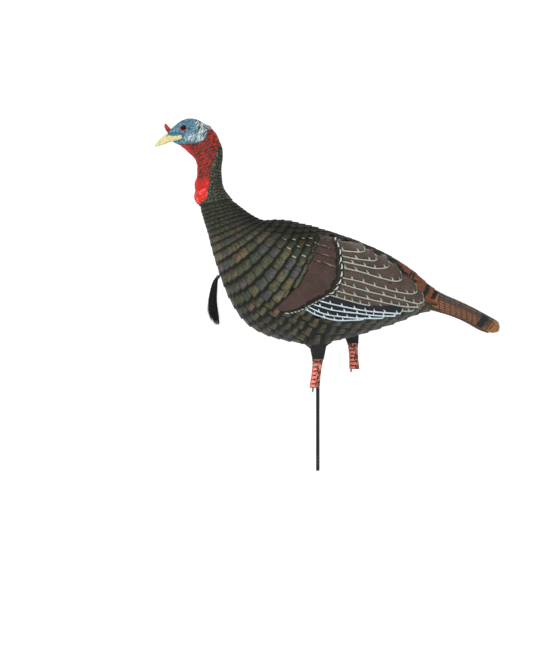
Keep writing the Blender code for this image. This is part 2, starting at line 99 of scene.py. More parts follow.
TAIL_ROWS = [
    (301, 469, 291, 420, 41), (330, 454, 320, 412, 43), (362, 440, 353, 402, 46),
    (398, 423, 388, 387, 49), (440, 400, 424, 367, 51), (461, 388, 448, 358, 50),
    (470, 376, 460, 356, 43),
]
TAIL_SQUARENESS = 0.75
# Outline of the whole wing in side view: its lower edge and its upper edge, front to back.
WING_LOWER = [(-107, 426), (-88, 414), (-38, 416), (1, 402), (58, 393), (123, 395), (185, 401),
              (237, 422), (268, 439), (285, 447)]
WING_UPPER = [(-105, 436), (-59, 475), (-28, 522), (-11, 569), (11, 606), (66, 593), (125, 571),
              (188, 541), (242, 501), (287, 457)]
# Outline of the smooth shoulder patch: its front edge and its back edge, bottom to top.
SHOULDER_FRONT = [(-107, 428), (-98, 437), (-78, 456), (-57, 478), (-42, 500), (-31, 524), (-20, 552),
                  (-12, 578), (-1, 603), (6, 611)]
SHOULDER_BACK = [(-92, 414), (-62, 416), (-33, 426), (3, 445), (36, 463), (53, 486), (59, 514),
                 (58, 545), (54, 572), (42, 600)]
# Lower edges of the wing's long feathers, root to tip, in side view.
SECONDARIES = [
    ((44, 571), (62, 566), (106, 562), (124, 565)),
    ((40, 556), (62, 552), (106, 544), (143, 540), (156, 544)),
    ((40, 543), (62, 539), (111, 529), (152, 521), (187, 524)),
    ((40, 530), (62, 524), (106, 514), (152, 501), (199, 490), (221, 494)),
    ((36, 506), (62, 499), (106, 490), (152, 477), (199, 466), (241, 460), (262, 466)),
    ((32, 491), (62, 483), (106, 471), (176, 455), (222, 445), (264, 438), (283, 446)),
    ((20, 475), (50, 466), (106, 452), (176, 438), (222, 431), (270, 430)),
    ((0, 464), (34, 455), (70, 445), (106, 436), (152, 428), (224, 420), (256, 423)),
]
PRIMARIES = [
    ((-42, 452), (-12, 446), (36, 434), (106, 421), (160, 416), (222, 414)),
    ((-50, 443), (-24, 437), (36, 420), (106, 412), (150, 408), (208, 408)),
    ((-56, 436), (-31, 430), (13, 411), (60, 404), (110, 401), (176, 402)),
    ((-56, 428), (-33, 422), (-5, 408), (36, 397), (70, 395), (124, 398)),
]
# Each leg's y, and the x and z of its middle at the collar and at the foot.
LEGS = {
    "left": {"y": -52, "top": (-1, 293), "foot": (-10, 217)},
    "right": {"y": 50, "top": (94, 333), "foot": (98, 263)},
}
# The beard's line from its ferrule to its tip: x, z, radius.
BEARD_ROWS = [
    (-258.8, 504.2, 2.9), (-262.3, 500.4, 4.0), (-267.0, 488, 6.9), (-270.5, 466, 9.4),
    (-272.5, 441, 11.2), (-272, 419, 13.2), (-268, 396, 12.6), (-265, 378, 11),
]
# The wing's outlines were drawn a little large, about one point: its x and z, and their true size.
DRAWN_ABOUT, DRAWN_SIZE = (-133, 358), 0.97
SIDES = {-1: "left", 1: "right"}
LENGTH_SAMPLES = 240  # of a loft, when distances along it are measured
# Distances from the neck seam at which the body's feathers end and the neck's begin.
BODY_FEATHERS_END, NECK_FEATHERS_TOP = 630, 168.0
NECK_PITCH, NECK_COUNT = 8.2, 30  # between the neck's rows, and feathers in each
WING_WIDTHS = {"secondaries": (27, 31, 36, 46, 42, 42, 36, 32), "primaries": (24, 22, 20, 18)}
WING_TIP, TAIL_TIP = 13.0, 3  # lengths over which a wing feather and a tail feather round off
FRINGE_PITCH, FRINGE_BLADE = 17.5, 31  # between the fringe's blades, and a blade's length
BEAK_LIFT, MARK_DEPTH = 0.1, 1.3  # of the horn over its rows, and of its grooves
LEG_SCUTES, BRISTLES, HAIRS = 7, 260, 430


# ---- surfaces ------------------------------------------------------------------------


def along(rows, t):
    """The row at t on a smooth curve through rows, where t counts rows from 0."""
    last = len(rows) - 1
    i = min(max(int(t), 0), last - 1)
    f = t - i
    before, start, end, after = (rows[min(max(i + k, 0), last)] for k in (-1, 0, 1, 2))
    return [
        0.5 * (2 * q + f * (r - p) + f * f * (2 * p - 5 * q + 4 * r - s) + f**3 * (3 * q - p - 3 * r + s))
        for p, q, r, s in zip(before, start, end, after)
    ]


def heading(rows, t, reach=0.05):
    """The direction that the curve through rows runs in at t, by its first two measures."""
    ahead, behind = along(rows, min(t + reach, len(rows) - 1)), along(rows, max(t - reach, 0))
    return Vector((ahead[0] - behind[0], ahead[1] - behind[1])).normalized()


def step(value, low, high):
    """0 below low and 1 above high, smooth between them. High may be the smaller."""
    share = min(max((value - low) / (high - low), 0), 1)
    return share * share * (3 - 2 * share)


def crown(t, power=2):
    """1 in the middle of a span that runs from 0 to 1, and 0 at its ends."""
    return 1 - abs(2 * t - 1) ** power


def signed_power(value, power):
    """A power of a number's size, with the number's sign."""
    return math.copysign(abs(value) ** power, value)


def rounded_end(left, tip, least):
    """A feather's share of its full width, with so much of its length left to its rounded tip."""
    close = max(0.0, 1 - left / tip)
    return (1 - close**2.2) ** (1 / 2.2) if close < 1 else least


class Loft:
    """A smooth oval surface. Share runs from its first row to its last, and turn round from its back."""

    def __init__(self, rows, roundness=1.0, bend=None):
        self.rows, self.roundness, self.bend, self.hand = rows, roundness, bend, 1
        outward = self.point(0.5, 0.25) - (self.point(0.5, 0) + self.point(0.5, 0.5)) / 2
        self.hand = 1 if self.normal(0.5, 0.25).dot(outward) > 0 else -1

    def point(self, share, turn):
        back_x, back_z, front_x, front_z, half_width = along(self.rows, share * (len(self.rows) - 1))
        up = signed_power(math.cos(turn * math.tau), self.roundness) / 2
        aside = signed_power(math.sin(turn * math.tau), self.roundness)
        place = Vector(((back_x + front_x) / 2 + (back_x - front_x) * up, half_width * aside,
                        (back_z + front_z) / 2 + (back_z - front_z) * up))
        return (self.bend(place, turn) if self.bend else place) * MM

    def normal(self, share, turn):
        near, far = min(share, 0.995), min(share, 0.995) + 0.005
        length = self.point(far, turn) - self.point(near, turn)
        around = self.point(share, turn + 0.004) - self.point(share, turn - 0.004)
        return length.cross(around).normalized() * self.hand

    def place(self, share, turn, lift):
        """A point that stands off the surface by lift, in millimetres."""
        return self.point(share, turn) + self.normal(share, turn) * (lift * MM)

    def mesh(self, rings, around, lift=None):
        """The surface as a closed grid, its ends drawn in to points."""
        made = bmesh.new()
        grid = bmesh.ops.create_grid(made, x_segments=around, y_segments=rings + 2, size=0.5)
        for vert in grid["verts"]:
            turn, ring = 0.5 - vert.co.x * self.hand, (vert.co.y + 0.5) * (rings + 2) - 1
            share = min(max(ring / rings, 0), 1)
            if -0.5 < ring < rings + 0.5:
                vert.co = self.place(share, turn, lift(share, turn) if lift else 0)
            else:
                vert.co = (self.point(share, 0) + self.point(share, 0.5)) / 2
        bmesh.ops.remove_doubles(made, verts=made.verts, dist=0.01 * MM)
        return made


class Arch(Loft):
    """The tail's arch: turn runs from 0 at its right edge, over the top, to 1 at its left edge."""

    def point(self, share, turn):
        top_x, top_z, foot_x, foot_z, half_width = along(self.rows, share * (len(self.rows) - 1))
        turn = min(max(turn, 0.0), 1.0)
        up = max(math.cos((turn - 0.5) * math.pi), 0) ** TAIL_SQUARENESS
        aside = signed_power(math.sin((turn - 0.5) * math.pi), TAIL_SQUARENESS)
        return Vector((foot_x + (top_x - foot_x) * up, half_width * aside,
                       foot_z + (top_z - foot_z) * up)) * MM

    def normal(self, share, turn):
        turn = min(max(turn, 0.03), 0.97)
        near = min(share, 0.98)
        length = self.point(near + 0.02, turn) - self.point(near, turn)
        around = self.point(share, turn + 0.02) - self.point(share, turn - 0.02)
        return length.cross(around).normalized() * self.hand


def with_thighs(place, turn):
    """A point of the body, in millimetres, with the thighs pushed out below."""
    under = max(0.0, -math.cos(turn * math.tau)) ** 0.5
    for x, y, drop, length, width in THIGHS:
        spread = ((place.x - x) / length) ** 2 + ((place.y - y) / width) ** 2
        place.z -= drop * under * math.exp(-spread)
    return place


BODY = Loft(BODY_ROWS, BODY_ROUNDNESS, with_thighs)
HEAD = Loft(HEAD_ROWS)
TAIL = Arch(TAIL_ROWS)


def share_lengths(loft):
    """How far along a loft's middle each of its shares lies, in millimetres."""
    shares = [i / LENGTH_SAMPLES for i in range(LENGTH_SAMPLES + 1)]
    middles = [(loft.point(share, 0) + loft.point(share, 0.5)) / 2 for share in shares]
    total, lengths = 0.0, [0.0]
    for near, far in zip(middles, middles[1:]):
        total += (far - near).length / MM
        lengths.append(total)
    return lengths


def share_at(lengths, distance):
    """The share of a loft at a distance along its middle."""
    samples = len(lengths) - 1
    for i in range(samples):
        if lengths[i + 1] >= distance:
            return (i + (distance - lengths[i]) / (lengths[i + 1] - lengths[i])) / samples
    return 1.0 + (distance - lengths[-1]) / lengths[-1]


def drawn(outline):
    """One of the wing's outlines, brought to its true size."""
    middle_x, middle_z = DRAWN_ABOUT
    return [(middle_x + (x - middle_x) * DRAWN_SIZE, middle_z + (z - middle_z) * DRAWN_SIZE)
            for x, z in outline]


class Flank:
    """The body's side in side view: finds the surface at x, z, and how deep a point is in the wing."""

    def __init__(self):
        body = BODY.mesh(110, 110)
        body.normal_update()
        self.tree = BVHTree.FromBMesh(body)
        body.free()
        quarters = [i / 4 for i in range(4 * len(WING_LOWER) - 3)]
        lower, upper = ([along(edge, t) for t in quarters] for edge in (WING_LOWER, WING_UPPER))
        self.outline = lower + upper[::-1]

    def place(self, x, z, side, lift):
        """A point that stands off the body's side by lift, at x and z in millimetres."""
        start = Vector((x * MM, side, z * MM))
        hit, normal = self.tree.ray_cast(start, Vector((0, -side, 0)))[:2]
        if hit is None:
            hit, normal = self.tree.find_nearest(Vector((x * MM, side * 0.02, z * MM)))[:2]
        if normal.y * side < 0:
            normal = -normal
        return hit + normal * (lift * MM)

    def depth(self, place):
        """Millimetres that a point lies inside the wing's outline, or less than 0 outside it."""
        x, z = place.x / MM, place.z / MM
        if not (-150 < x < 330 and 350 < z < 650):
            return -99.0
        inside, nearest = False, 99.0
        for (ax, az), (bx, bz) in zip(self.outline, self.outline[1:] + self.outline[:1]):
            if (az > z) != (bz > z) and x < (bx - ax) * (z - az) / (bz - az) + ax:
                inside = not inside
            span = (bx - ax) ** 2 + (bz - az) ** 2
            share = min(max(((x - ax) * (bx - ax) + (z - az) * (bz - az)) / span, 0), 1) if span else 0
            nearest = min(nearest, math.hypot(x - ax - share * (bx - ax), z - az - share * (bz - az)))
        return nearest if inside else -nearest


# ---- paints --------------------------------------------------------------------------


class Value:
    """A number on a shader's socket, on which Python's operators add Math nodes."""

    def __init__(self, paint, socket):
        self.paint, self.socket = paint, socket

    def operator(operation, swapped=False):
        """A method that adds a Math node, with the value itself as its last term if swapped."""
        def method(self, *others):
            terms = (*others, self) if swapped else (self, *others)
            return self.paint.node("ShaderNodeMath", {"operation": operation}, terms)
        return method

    __add__ = __radd__ = operator("ADD")
    __sub__, __rsub__ = operator("SUBTRACT"), operator("SUBTRACT", swapped=True)
    __mul__ = __rmul__ = operator("MULTIPLY")
    __truediv__, __pow__ = operator("DIVIDE"), operator("POWER")
    __gt__, __lt__ = operator("GREATER_THAN"), operator("LESS_THAN")
    __abs__, sine, fraction = operator("ABSOLUTE"), operator("SINE"), operator("FRACT")
    larger, smaller = operator("MAXIMUM"), operator("MINIMUM")

    def step(self, low, high):
        """0 at low and 1 at high, smooth between them, whichever is the larger."""
        return self.paint.node("ShaderNodeMapRange", {"interpolation_type": "SMOOTHSTEP"},
                               {"Value": self, "From Min": low, "From Max": high})


class Paint:
    """A material being made, round one Principled shader."""

    def __init__(self, name, **constants):
        self.material = bpy.data.materials.new(name)
        self.material.use_nodes = True
        self.tree = self.material.node_tree
        self.shader = self.tree.nodes["Principled BSDF"]
        for socket, value in constants.items():
            self.shader.inputs[socket.replace("_", " ")].default_value = value

    def node(self, kind, settings=None, inputs=(), output=0):
        made = self.tree.nodes.new(kind)
        for name, value in (settings or {}).items():
            if name == "stops":
                self.set_stops(made.color_ramp, value)
            else:
                setattr(made, name, value)
        for socket, value in inputs.items() if isinstance(inputs, dict) else enumerate(inputs):
            if isinstance(value, Value):
                self.tree.links.new(value.socket, made.inputs[socket])
            else:
                made.inputs[socket].default_value = value
        return Value(self, made.outputs[output])

    def set_stops(self, ramp, stops):
        while len(ramp.elements) > 1:
            ramp.elements.remove(ramp.elements[-1])
        for i, (position, colour) in enumerate(stops):
            stop = ramp.elements[0] if i == 0 else ramp.elements.new(position)
            stop.position = position
            stop.color = (*colour, 1)

    def feed(self, **sockets):
        for name, value in sockets.items():
            self.tree.links.new(value.socket, self.shader.inputs[name.replace("_", " ")])

    def coords(self):
        return self.node("ShaderNodeTexCoord", output="Object")

    def split(self, vector):
        node = self.node("ShaderNodeSeparateXYZ", inputs=(vector,)).socket.node
        return [Value(self, socket) for socket in node.outputs]

    def stretched(self, vector, scale):
        return self.node("ShaderNodeMapping", inputs={"Vector": vector, "Scale": scale})

    def joined(self, x, y, z):
        return self.node("ShaderNodeCombineXYZ", inputs=(x, y, z))

    def field(self, name):
        return self.node("ShaderNodeAttribute", {"attribute_name": name}, output="Fac")

    def fields(self, *names):
        return [self.field(name) for name in names]

    def noise(self, vector, scale, detail=2.0, roughness=0.5):
        return self.node("ShaderNodeTexNoise", inputs={
            "Vector": vector, "Scale": scale, "Detail": detail, "Roughness": roughness})

    def cells(self, vector, scale):
        inputs = {"Vector": vector, "Scale": scale}
        return self.node("ShaderNodeTexVoronoi", inputs=inputs, output="Distance")

    def ramp(self, value, stops):
        return self.node("ShaderNodeValToRGB", {"stops": stops}, (value,))

    def mix(self, share, low, high):
        """A colour share of the way from low to high."""
        low, high = (colour if isinstance(colour, Value) else (*colour, 1) for colour in (low, high))
        return self.node("ShaderNodeMix", {"data_type": "RGBA"}, {0: share, 6: low, 7: high}, 2)

    def shade(self, share, colour, dark):
        """A colour times dark where share is 1."""
        return self.node("ShaderNodeMix", {"data_type": "RGBA", "blend_type": "MULTIPLY"},
                         {0: share, 6: colour, 7: (dark, dark, dark, 1)}, 2)

    def bump(self, height, distance, strength=1.0):
        self.feed(Normal=self.node("ShaderNodeBump", inputs={
            "Height": height, "Distance": distance, "Strength": strength}))


def scaled(colour, factor):
    return tuple(factor * part for part in colour)


def barbs(paint, spacing, slant=0.010):
    """Fine ridges that run out and forward from a feather's shaft, from 0 to 1."""
    out = abs(paint.field("across") - 0.5)
    wobble = paint.noise(paint.coords(), 160, 1.0) * 0.0011
    return ((paint.field("reach") - out * slant + wobble) * (math.tau / spacing)).sine() * 0.5 + 0.5


def contour_paint(name, settings):
    """Small body feathers: tiles of many dark metallic colours with black trailing edges."""
    paint = Paint(name, Roughness=0.5, Specular_IOR_Level=0.16)
    across, length, fold, tint = paint.fields("across", "along", "depth", "tint")
    place = paint.coords()
    x, _, z = paint.split(place)
    ridges = barbs(paint, 0.0023)
    drift = paint.noise(place, 9, 1.0)
    patchy = paint.noise(place, 70, 2.0)
    hue = tint * 0.72 + drift * 0.34 + patchy * 0.34 - 0.20
    tile = paint.ramp(hue, [
        (0.00, (0.052, 0.062, 0.040)), (0.16, (0.098, 0.104, 0.054)), (0.28, (0.050, 0.084, 0.058)),
        (0.40, (0.150, 0.128, 0.066)), (0.50, (0.060, 0.074, 0.046)), (0.60, (0.210, 0.158, 0.084)),
        (0.69, (0.060, 0.100, 0.076)), (0.78, (0.100, 0.084, 0.094)), (0.88, (0.240, 0.142, 0.076)),
        (1.00, (0.125, 0.135, 0.078)),
    ])
    back = fold.step(0.45, 0.24) * x.step(-0.26, -0.16)
    neck = z.step(0.560, 0.650)
    tile = paint.mix(neck * 0.72, tile, settings.neck_colour)
    tile = paint.mix(back * 0.9, tile, settings.back_colour)
    under = z.step(0.440, 0.370)
    tile = paint.mix(under * 0.35, tile, settings.belly_colour)
    streaks = paint.noise(paint.joined(across * 9, length * 1.2, tint * 40), 3.0, 3.0)
    tile = paint.shade(streaks.step(0.60, 0.40) * 0.85, tile, 0.42)
    tile = paint.shade(ridges * 0.35, tile, 0.50)
    tile = paint.shade(length.step(0.62, 0.36) * 0.62, tile, 0.40)
    tile = paint.mix(streaks.step(0.58, 0.72) * 0.35 * (1 - back), tile, (0.230, 0.210, 0.120))
    gleam = abs(across - 0.925).step(0.055, 0.035) * length.step(0.42, 0.50) * length.step(0.90, 0.84)
    gleam = gleam * x.step(-0.098, -0.080) * x.step(0.062, 0.050) * (patchy > 0.44)
    pale = paint.mix(tint > 0.6, (0.42, 0.40, 0.22), (0.46, 0.26, 0.08))
    tile = paint.mix(gleam * z.step(0.530, 0.545) * z.step(0.615, 0.600) * 0.9, tile, pale)
    uneven = (paint.noise(place, 140, 1.0) - 0.5) * 0.10
    # The trailing edges are black paint; deep widens them on the underside, as painted shade between the
    # rows there.
    deep = z.step(0.450, 0.400) * 0.09
    rim = (length + uneven + deep).step(0.820, 0.850)
    rim = rim.larger((abs(across - 0.5) + deep * 0.5).step(0.448, 0.474) * (1 - gleam))
    mottle = paint.noise(place, 240, 2.0, 0.6)
    tile = paint.shade(neck * mottle.step(0.56, 0.44) * 0.85, tile, 0.35)
    # Painted shade: the feathers darken towards the underside.
    tile = paint.shade(z.step(0.470, 0.350) * 0.42, tile, 0.40)
    tile = paint.shade(x.step(-0.08, -0.22) * 0.34, tile, 0.5)
    tile = paint.mix(rim * (0.97 - back * 0.35) * (1 - neck * 0.20), tile, settings.edge_colour)
    rump = ((x - 0.2128) - (0.5339 - z) * 0.651 + paint.noise(place, 60) * 0.008).step(-0.004, 0.006)
    flow = x * 0.88 - z * 0.47 + uneven * 0.02
    bars = (abs(flow - 0.0245).step(0.0062, 0.0050).larger(abs(flow - 0.0485).step(0.0066, 0.0054))
            .larger(abs(abs(flow + 0.0267) - 0.0042).step(0.0026, 0.0018)))
    red = paint.mix(streaks.step(0.35, 0.7), (0.100, 0.034, 0.016), (0.220, 0.080, 0.034))
    red = paint.mix(flow.step(0.030, 0.060) * 0.6, red, (0.380, 0.130, 0.050))
    barred = (bars * fold.step(0.56, 0.46)).larger(fold.step(0.50, 0.62))
    red = paint.mix(barred, red, (0.014, 0.015, 0.015))
    red = paint.mix(fold.step(0.56, 0.66) * 0.8, red, (0.050, 0.054, 0.040))
    paint.feed(Base_Color=paint.mix(rump, tile, red), Roughness=0.45 + streaks * 0.25 + back * 0.25)
    paint.bump(ridges * 0.6 + streaks, 0.0007, 0.8)
    return paint.material


def neck_paint(name, settings):
    """Short dark green neck feathers, finely mottled with olive."""
    paint = Paint(name, Roughness=0.6, Specular_IOR_Level=0.2)
    place = paint.coords()
    x, _, _ = paint.split(place)
    mottle, fine = paint.noise(place, 240, 2.0, 0.6), paint.noise(place, 700, 2.0)
    colour = paint.mix(mottle.step(0.40, 0.62), (0.014, 0.020, 0.012), settings.neck_colour)
    colour = paint.mix((mottle + fine * 0.3).step(0.72, 0.82) * 0.7, colour, (0.200, 0.210, 0.130))
    colour = paint.shade(x.step(-0.268, -0.250) * 0.55, colour, 0.4)
    colour = paint.shade(paint.field("along").step(0.70, 0.90) * 0.6, colour, 0.3)
    paint.feed(Base_Color=colour, Roughness=0.5 + fine * 0.2)
    paint.bump(mottle + fine * 0.5, 0.0007, 0.8)
    return paint.material


def wing_paint(name, vane, edge, edge_width, thorn, spots):
    """Long wing feathers with a pale lower edge that curls round the tip, and pale thorns along it.

    The edge's width and the thorns' height are in metres, and spots is how strong the dark spots are.
    """
    paint = Paint(name, Roughness=0.55, Specular_IOR_Level=0.2)
    reach, depth, rim, tint = paint.fields("reach", "depth", "edge", "tint")
    place = paint.coords()
    ridges = barbs(paint, 0.0022, 0.014)
    mottle = paint.noise(paint.joined(reach * 260, depth * 700, tint * 30), 1.0, 3.0, 0.7)
    cloud = paint.noise(place, 26, 2.0)
    colour = paint.mix(mottle.step(0.30, 0.72), scaled(vane, 0.55), scaled(vane, 1.35))
    colour = paint.shade(ridges * 0.45, colour, 0.55)
    colour = paint.shade(cloud.step(0.58, 0.40) * 0.45, colour, 0.6)
    colour = paint.shade(rim.step(edge_width * 2.6, edge_width * 1.1) * 0.75, colour, 0.30)
    spot = paint.cells(paint.joined(reach * 42, depth * 60, tint * 17), 1.0).step(0.20, 0.12)
    colour = paint.mix(spot * depth.step(0.014, 0.018) * spots, colour, (0.012, 0.012, 0.010))
    cell = (reach + tint * 0.018 + depth * 0.20 + depth * depth * 26) / 0.0240
    lean = (paint.noise(paint.joined(reach * 9, tint * 50, 0.0), 1.0, 0.0) - 0.5) * 9
    comb = abs((cell + lean * (depth - 0.002) * 8).fraction() - 0.5)
    tick = (0.118 - depth * (0.090 / thorn) - comb).step(0.0, 0.022) * depth.step(thorn, thorn * 0.85)
    wave = (paint.noise(place, 150, 1.0) - 0.5) * 0.0013
    line = (rim + wave).step(edge_width, edge_width * 0.78)
    white = line.larger(tick)
    colour = paint.mix(white * 0.96, colour, paint.mix(mottle, scaled(edge, 0.72), edge))
    paint.feed(Base_Color=colour, Roughness=0.45 + mottle * 0.2)
    paint.bump(ridges * 0.35 + mottle * 0.4 + white, 0.0006, 0.8)
    return paint.material


def shoulder_paint(name, colour):
    """The smooth purplish-brown shoulder: fine hair-like barbs, with feather edges across its top."""
    paint = Paint(name, Roughness=0.6, Specular_IOR_Level=0.2)
    place = paint.coords()
    back, height = paint.field("depth"), paint.field("along")
    hairs = paint.noise(paint.joined(back * 34, height * 84, 0.0), 1.0, 4.0, 0.65)
    cloud = paint.noise(place, 34, 2.0)
    base = paint.mix(hairs.step(0.3, 0.7), scaled(colour, 0.60), scaled(colour, 1.35))
    base = paint.shade(cloud.step(0.58, 0.35) * 0.6, base, 0.6)
    base = paint.mix(cloud.step(0.50, 0.66) * 0.35, base, (0.056, 0.038, 0.042))
    rise = (height - back * 0.045 + (cloud - 0.5) * 0.04 - 0.60) / 0.082
    edge = abs(rise.fraction() - 0.5)
    high = height.step(0.62, 0.66) * back.step(0.06, 0.14)
    base = paint.shade(edge.step(0.16, 0.05) * high * 0.8, base, 0.35)
    pale = (abs(rise.fraction() - 0.60).step(0.10, 0.04) * high * back.step(0.95, 0.70)
            * paint.noise(place, 90, 1.0).step(0.42, 0.60))
    base = paint.mix(pale * 0.55, base, (0.27, 0.20, 0.16))
    # Painted shade: a dark line along the patch's edges, where the body's feathers and the fringe overlap
    # it.
    base = paint.shade(paint.field("edge").step(0.0046, 0.0014) * 0.9, base, 0.10)
    spikes = paint.noise(paint.joined(back * 3, height * 30, 5.0), 1.0, 2.0) - 0.5
    base = paint.shade((back + spikes * 0.30).step(0.86, 0.91) * 0.92, base, 0.12)
    paint.feed(Base_Color=base, Roughness=0.5 + hairs * 0.2)
    paint.bump(hairs - edge.step(0.2, 0.0) * high, 0.0006, 0.8)
    return paint.material


def fringe_paint(name):
    """Black blades round the shoulder, each with a pale stroke down it."""
    paint = Paint(name, Roughness=0.5, Specular_IOR_Level=0.2)
    length, share = paint.fields("along", "depth")
    place = paint.coords()
    wave = (paint.noise(place, 260, 2.0) - 0.5) * 0.20
    taper = (length * math.pi).sine()
    stroke = (abs(share + wave - 0.62) + (1 - taper) * 0.16).step(0.165, 0.10) * taper.step(0.42, 0.68)
    tone = paint.mix(paint.noise(place, 300), (0.34, 0.37, 0.30), (0.62, 0.66, 0.58))
    paint.feed(Base_Color=paint.mix(stroke, (0.012, 0.012, 0.011), tone))
    paint.bump(wave + stroke * 0.3, 0.0006, 0.7)
    return paint.material


def tail_paint(name):
    """Tail feathers: brown above, chestnut with dark crosses below, a black band and a buff tip."""
    paint = Paint(name, Roughness=0.55, Specular_IOR_Level=0.2)
    reach, height, rim, tint = paint.fields("reach", "depth", "edge", "tint")
    place = paint.coords()
    ridges = barbs(paint, 0.0020)
    fine = paint.noise(paint.joined(reach * 620, height * 60, tint * 40), 1.0, 2.0, 0.7)
    cloud = paint.noise(place, 60, 3.0)
    upper = paint.mix(fine.step(0.35, 0.65), (0.050, 0.037, 0.030), (0.165, 0.112, 0.085))
    upper = paint.mix((cloud * 0.6 + fine * 0.4).step(0.54, 0.62) * 0.6, upper, (0.250, 0.095, 0.040))
    lower = paint.mix(fine.step(0.30, 0.66), (0.120, 0.050, 0.027), (0.340, 0.150, 0.078))
    lower = paint.mix(reach.step(0.030, 0.012) * 0.5, lower, (0.450, 0.150, 0.050))
    top = (height + (cloud - 0.5) * 0.16).step(0.50, 0.60)
    colour = paint.mix(top, lower, upper)
    step_up = (reach / 0.0152 + height * 0.9 + tint * 0.12).fraction()
    cross = abs(step_up - 0.5).step(0.16, 0.07) * (paint.noise(place, 300, 1.0).step(0.30, 0.42))
    cross = cross * rim.step(0.0058, 0.0030) * (1 - top * 0.35)
    line = rim.step(0.0016, 0.0008) * (0.55 + fine * 0.6).smaller(1.0)
    colour = paint.mix(cross.larger(line) * 0.93, colour, (0.020, 0.018, 0.016))
    where = reach + (0.5 - height) * 0.010 + (paint.noise(place, 90, 2.0) - 0.5) * 0.006
    tip = paint.mix(cloud, (0.210, 0.092, 0.032), (0.400, 0.205, 0.070))
    colour = paint.mix(where.step(0.1580, 0.1660), colour, tip)
    thin = abs(((where - 0.1480) / 0.0072).fraction() - 0.5).step(0.24, 0.14)
    thin = thin * where.step(0.1700, 0.1660) * where.step(0.147, 0.149)
    thin = thin * height.step(0.74, 0.62) * height.step(0.10, 0.18)
    colour = paint.mix(thin * 0.9, colour, (0.030, 0.026, 0.020))
    band = where.step(0.1290, 0.1310) * where.step(0.1490, 0.1470)
    colour = paint.mix(band, colour, (0.020, 0.020, 0.020))
    root = reach.step(0.030, 0.022) * height.step(0.16, 0.08)
    colour = paint.mix(root, colour, (0.040, 0.044, 0.034))
    paint.feed(Base_Color=paint.shade(ridges * 0.35, colour, 0.55), Roughness=0.5 + fine * 0.15)
    paint.bump(ridges * 0.5 + fine * 0.5, 0.0006, 0.7)
    return paint.material


def slanted(paint, place, angle, fine, coarse, detail=2.0):
    """Noise drawn out along a line that rises towards the tail by an angle in degrees."""
    x, y, z = paint.split(place)
    run, rise = math.cos(math.radians(angle)), math.sin(math.radians(angle))
    down = x * run + z * rise
    over = z * run - x * rise
    return paint.noise(paint.joined(down * coarse, y * coarse, over * fine), 1.0, detail, 0.6)


def head_paint(name, settings):
    """Painted skin: a light blue face with a whitish cheek, and a red neck with dark flecks."""
    paint = Paint(name, Roughness=0.42, Specular_IOR_Level=0.16)
    place = paint.coords()
    x, _, z = paint.split(place)
    ragged = paint.noise(place, 170, 2.0) - 0.5
    side = abs((x + 0.3378) / 0.0520) ** 2.6 + abs((z - 0.8815) / 0.0350) ** 2.6 + ragged * 0.42
    face = side.step(1.06, 0.96)
    speckle = paint.noise(place, 480, 3.0, 0.65)
    blotch = paint.noise(place, 210, 2.0)
    strokes = slanted(paint, place, 62, 520, 120)
    skin = paint.mix(blotch.step(0.38, 0.62), (0.046, 0.120, 0.175), settings.face_colour)
    skin = paint.mix(speckle.step(0.54, 0.68) * 0.6, skin, (0.220, 0.390, 0.460))
    cheek = ((((x + 0.3200) / 0.030) ** 2.0 + ((z - 0.8620) / 0.0130) ** 2.0 + ragged * 1.3).step(1.4, 0.4)
             * x.step(-0.3500, -0.3420))
    pale = paint.mix(strokes.step(0.44, 0.58), (0.085, 0.150, 0.175), settings.cheek_colour)
    skin = paint.mix(cheek * 0.90, skin, pale)
    top = z.step(0.889, 0.909)
    dark = ((blotch + speckle * 0.6).step(0.76, 0.66) * 0.65).larger(
        speckle.step(0.42, 0.34) * (0.5 + top * 0.4)).larger(strokes.step(0.46, 0.38) * top * 0.6)
    skin = paint.mix(dark * (1 - cheek * 0.55), skin, (0.012, 0.026, 0.036))
    low = z.step(0.8580, 0.8500) * x.step(-0.352, -0.335)
    skin = paint.mix(low * speckle.step(0.62, 0.45) * 0.85, skin, (0.030, 0.058, 0.072))
    nape = (x + (z - 0.870) * 0.25).step(-0.3130, -0.3060) * z.step(0.866, 0.878)
    lines = slanted(paint, place, 64, 640, 60, 1.0)
    hairs = paint.ramp(lines, [(0.42, (0.012, 0.016, 0.018)), (0.48, (0.030, 0.040, 0.042)),
                               (0.53, (0.360, 0.430, 0.430)), (0.60, (0.600, 0.660, 0.650))])
    skin = paint.mix(nape * 0.92, skin, hairs)
    fleck = slanted(paint, place, 42, 430, 105, 2.5)
    smooth = z.step(0.766, 0.744)
    front = (x + 0.307 + (z - 0.800).larger(0.0) * 0.55).step(0.001, -0.010)
    red = paint.mix(speckle.step(0.35, 0.65), (0.300, 0.010, 0.010), settings.neck_colour)
    red = paint.mix(blotch.step(0.54, 0.68) * 0.35, red, (0.66, 0.090, 0.070))
    dark = (fleck + speckle * 0.20 - 0.10).step(0.545, 0.510) * (1 - smooth) * (1 - front * 0.85)
    red = paint.mix(dark * 0.96, red, (0.016, 0.022, 0.014))
    feathered = (x - z.step(0.758, 0.838) * 0.026 + 0.2765 + ragged * 0.006).step(-0.002, 0.002)
    feathered = (feathered * z.step(0.842, 0.832)).larger(z.step(0.700, 0.695))
    red = paint.mix(feathered, red, (0.020, 0.026, 0.017))
    colour = paint.mix(face, red, skin)
    line = side.step(0.88, 0.98) * side.step(1.20, 1.06) * x.step(-0.372, -0.350)
    colour = paint.mix(line * 0.70, colour, (0.014, 0.018, 0.020))
    # Painted shade: a dark line in the gap where the beak meets the face.
    seat = abs(z - 0.8745).step(0.0024, 0.0010) * x.step(-0.347, -0.353)
    colour = paint.mix(seat * 0.7, colour, (0.016, 0.026, 0.032))
    paint.feed(Base_Color=colour, Roughness=0.40 + speckle * 0.2)
    paint.bump(speckle * 0.5 + fleck + strokes * 0.7, 0.0011, 0.9)
    return paint.material


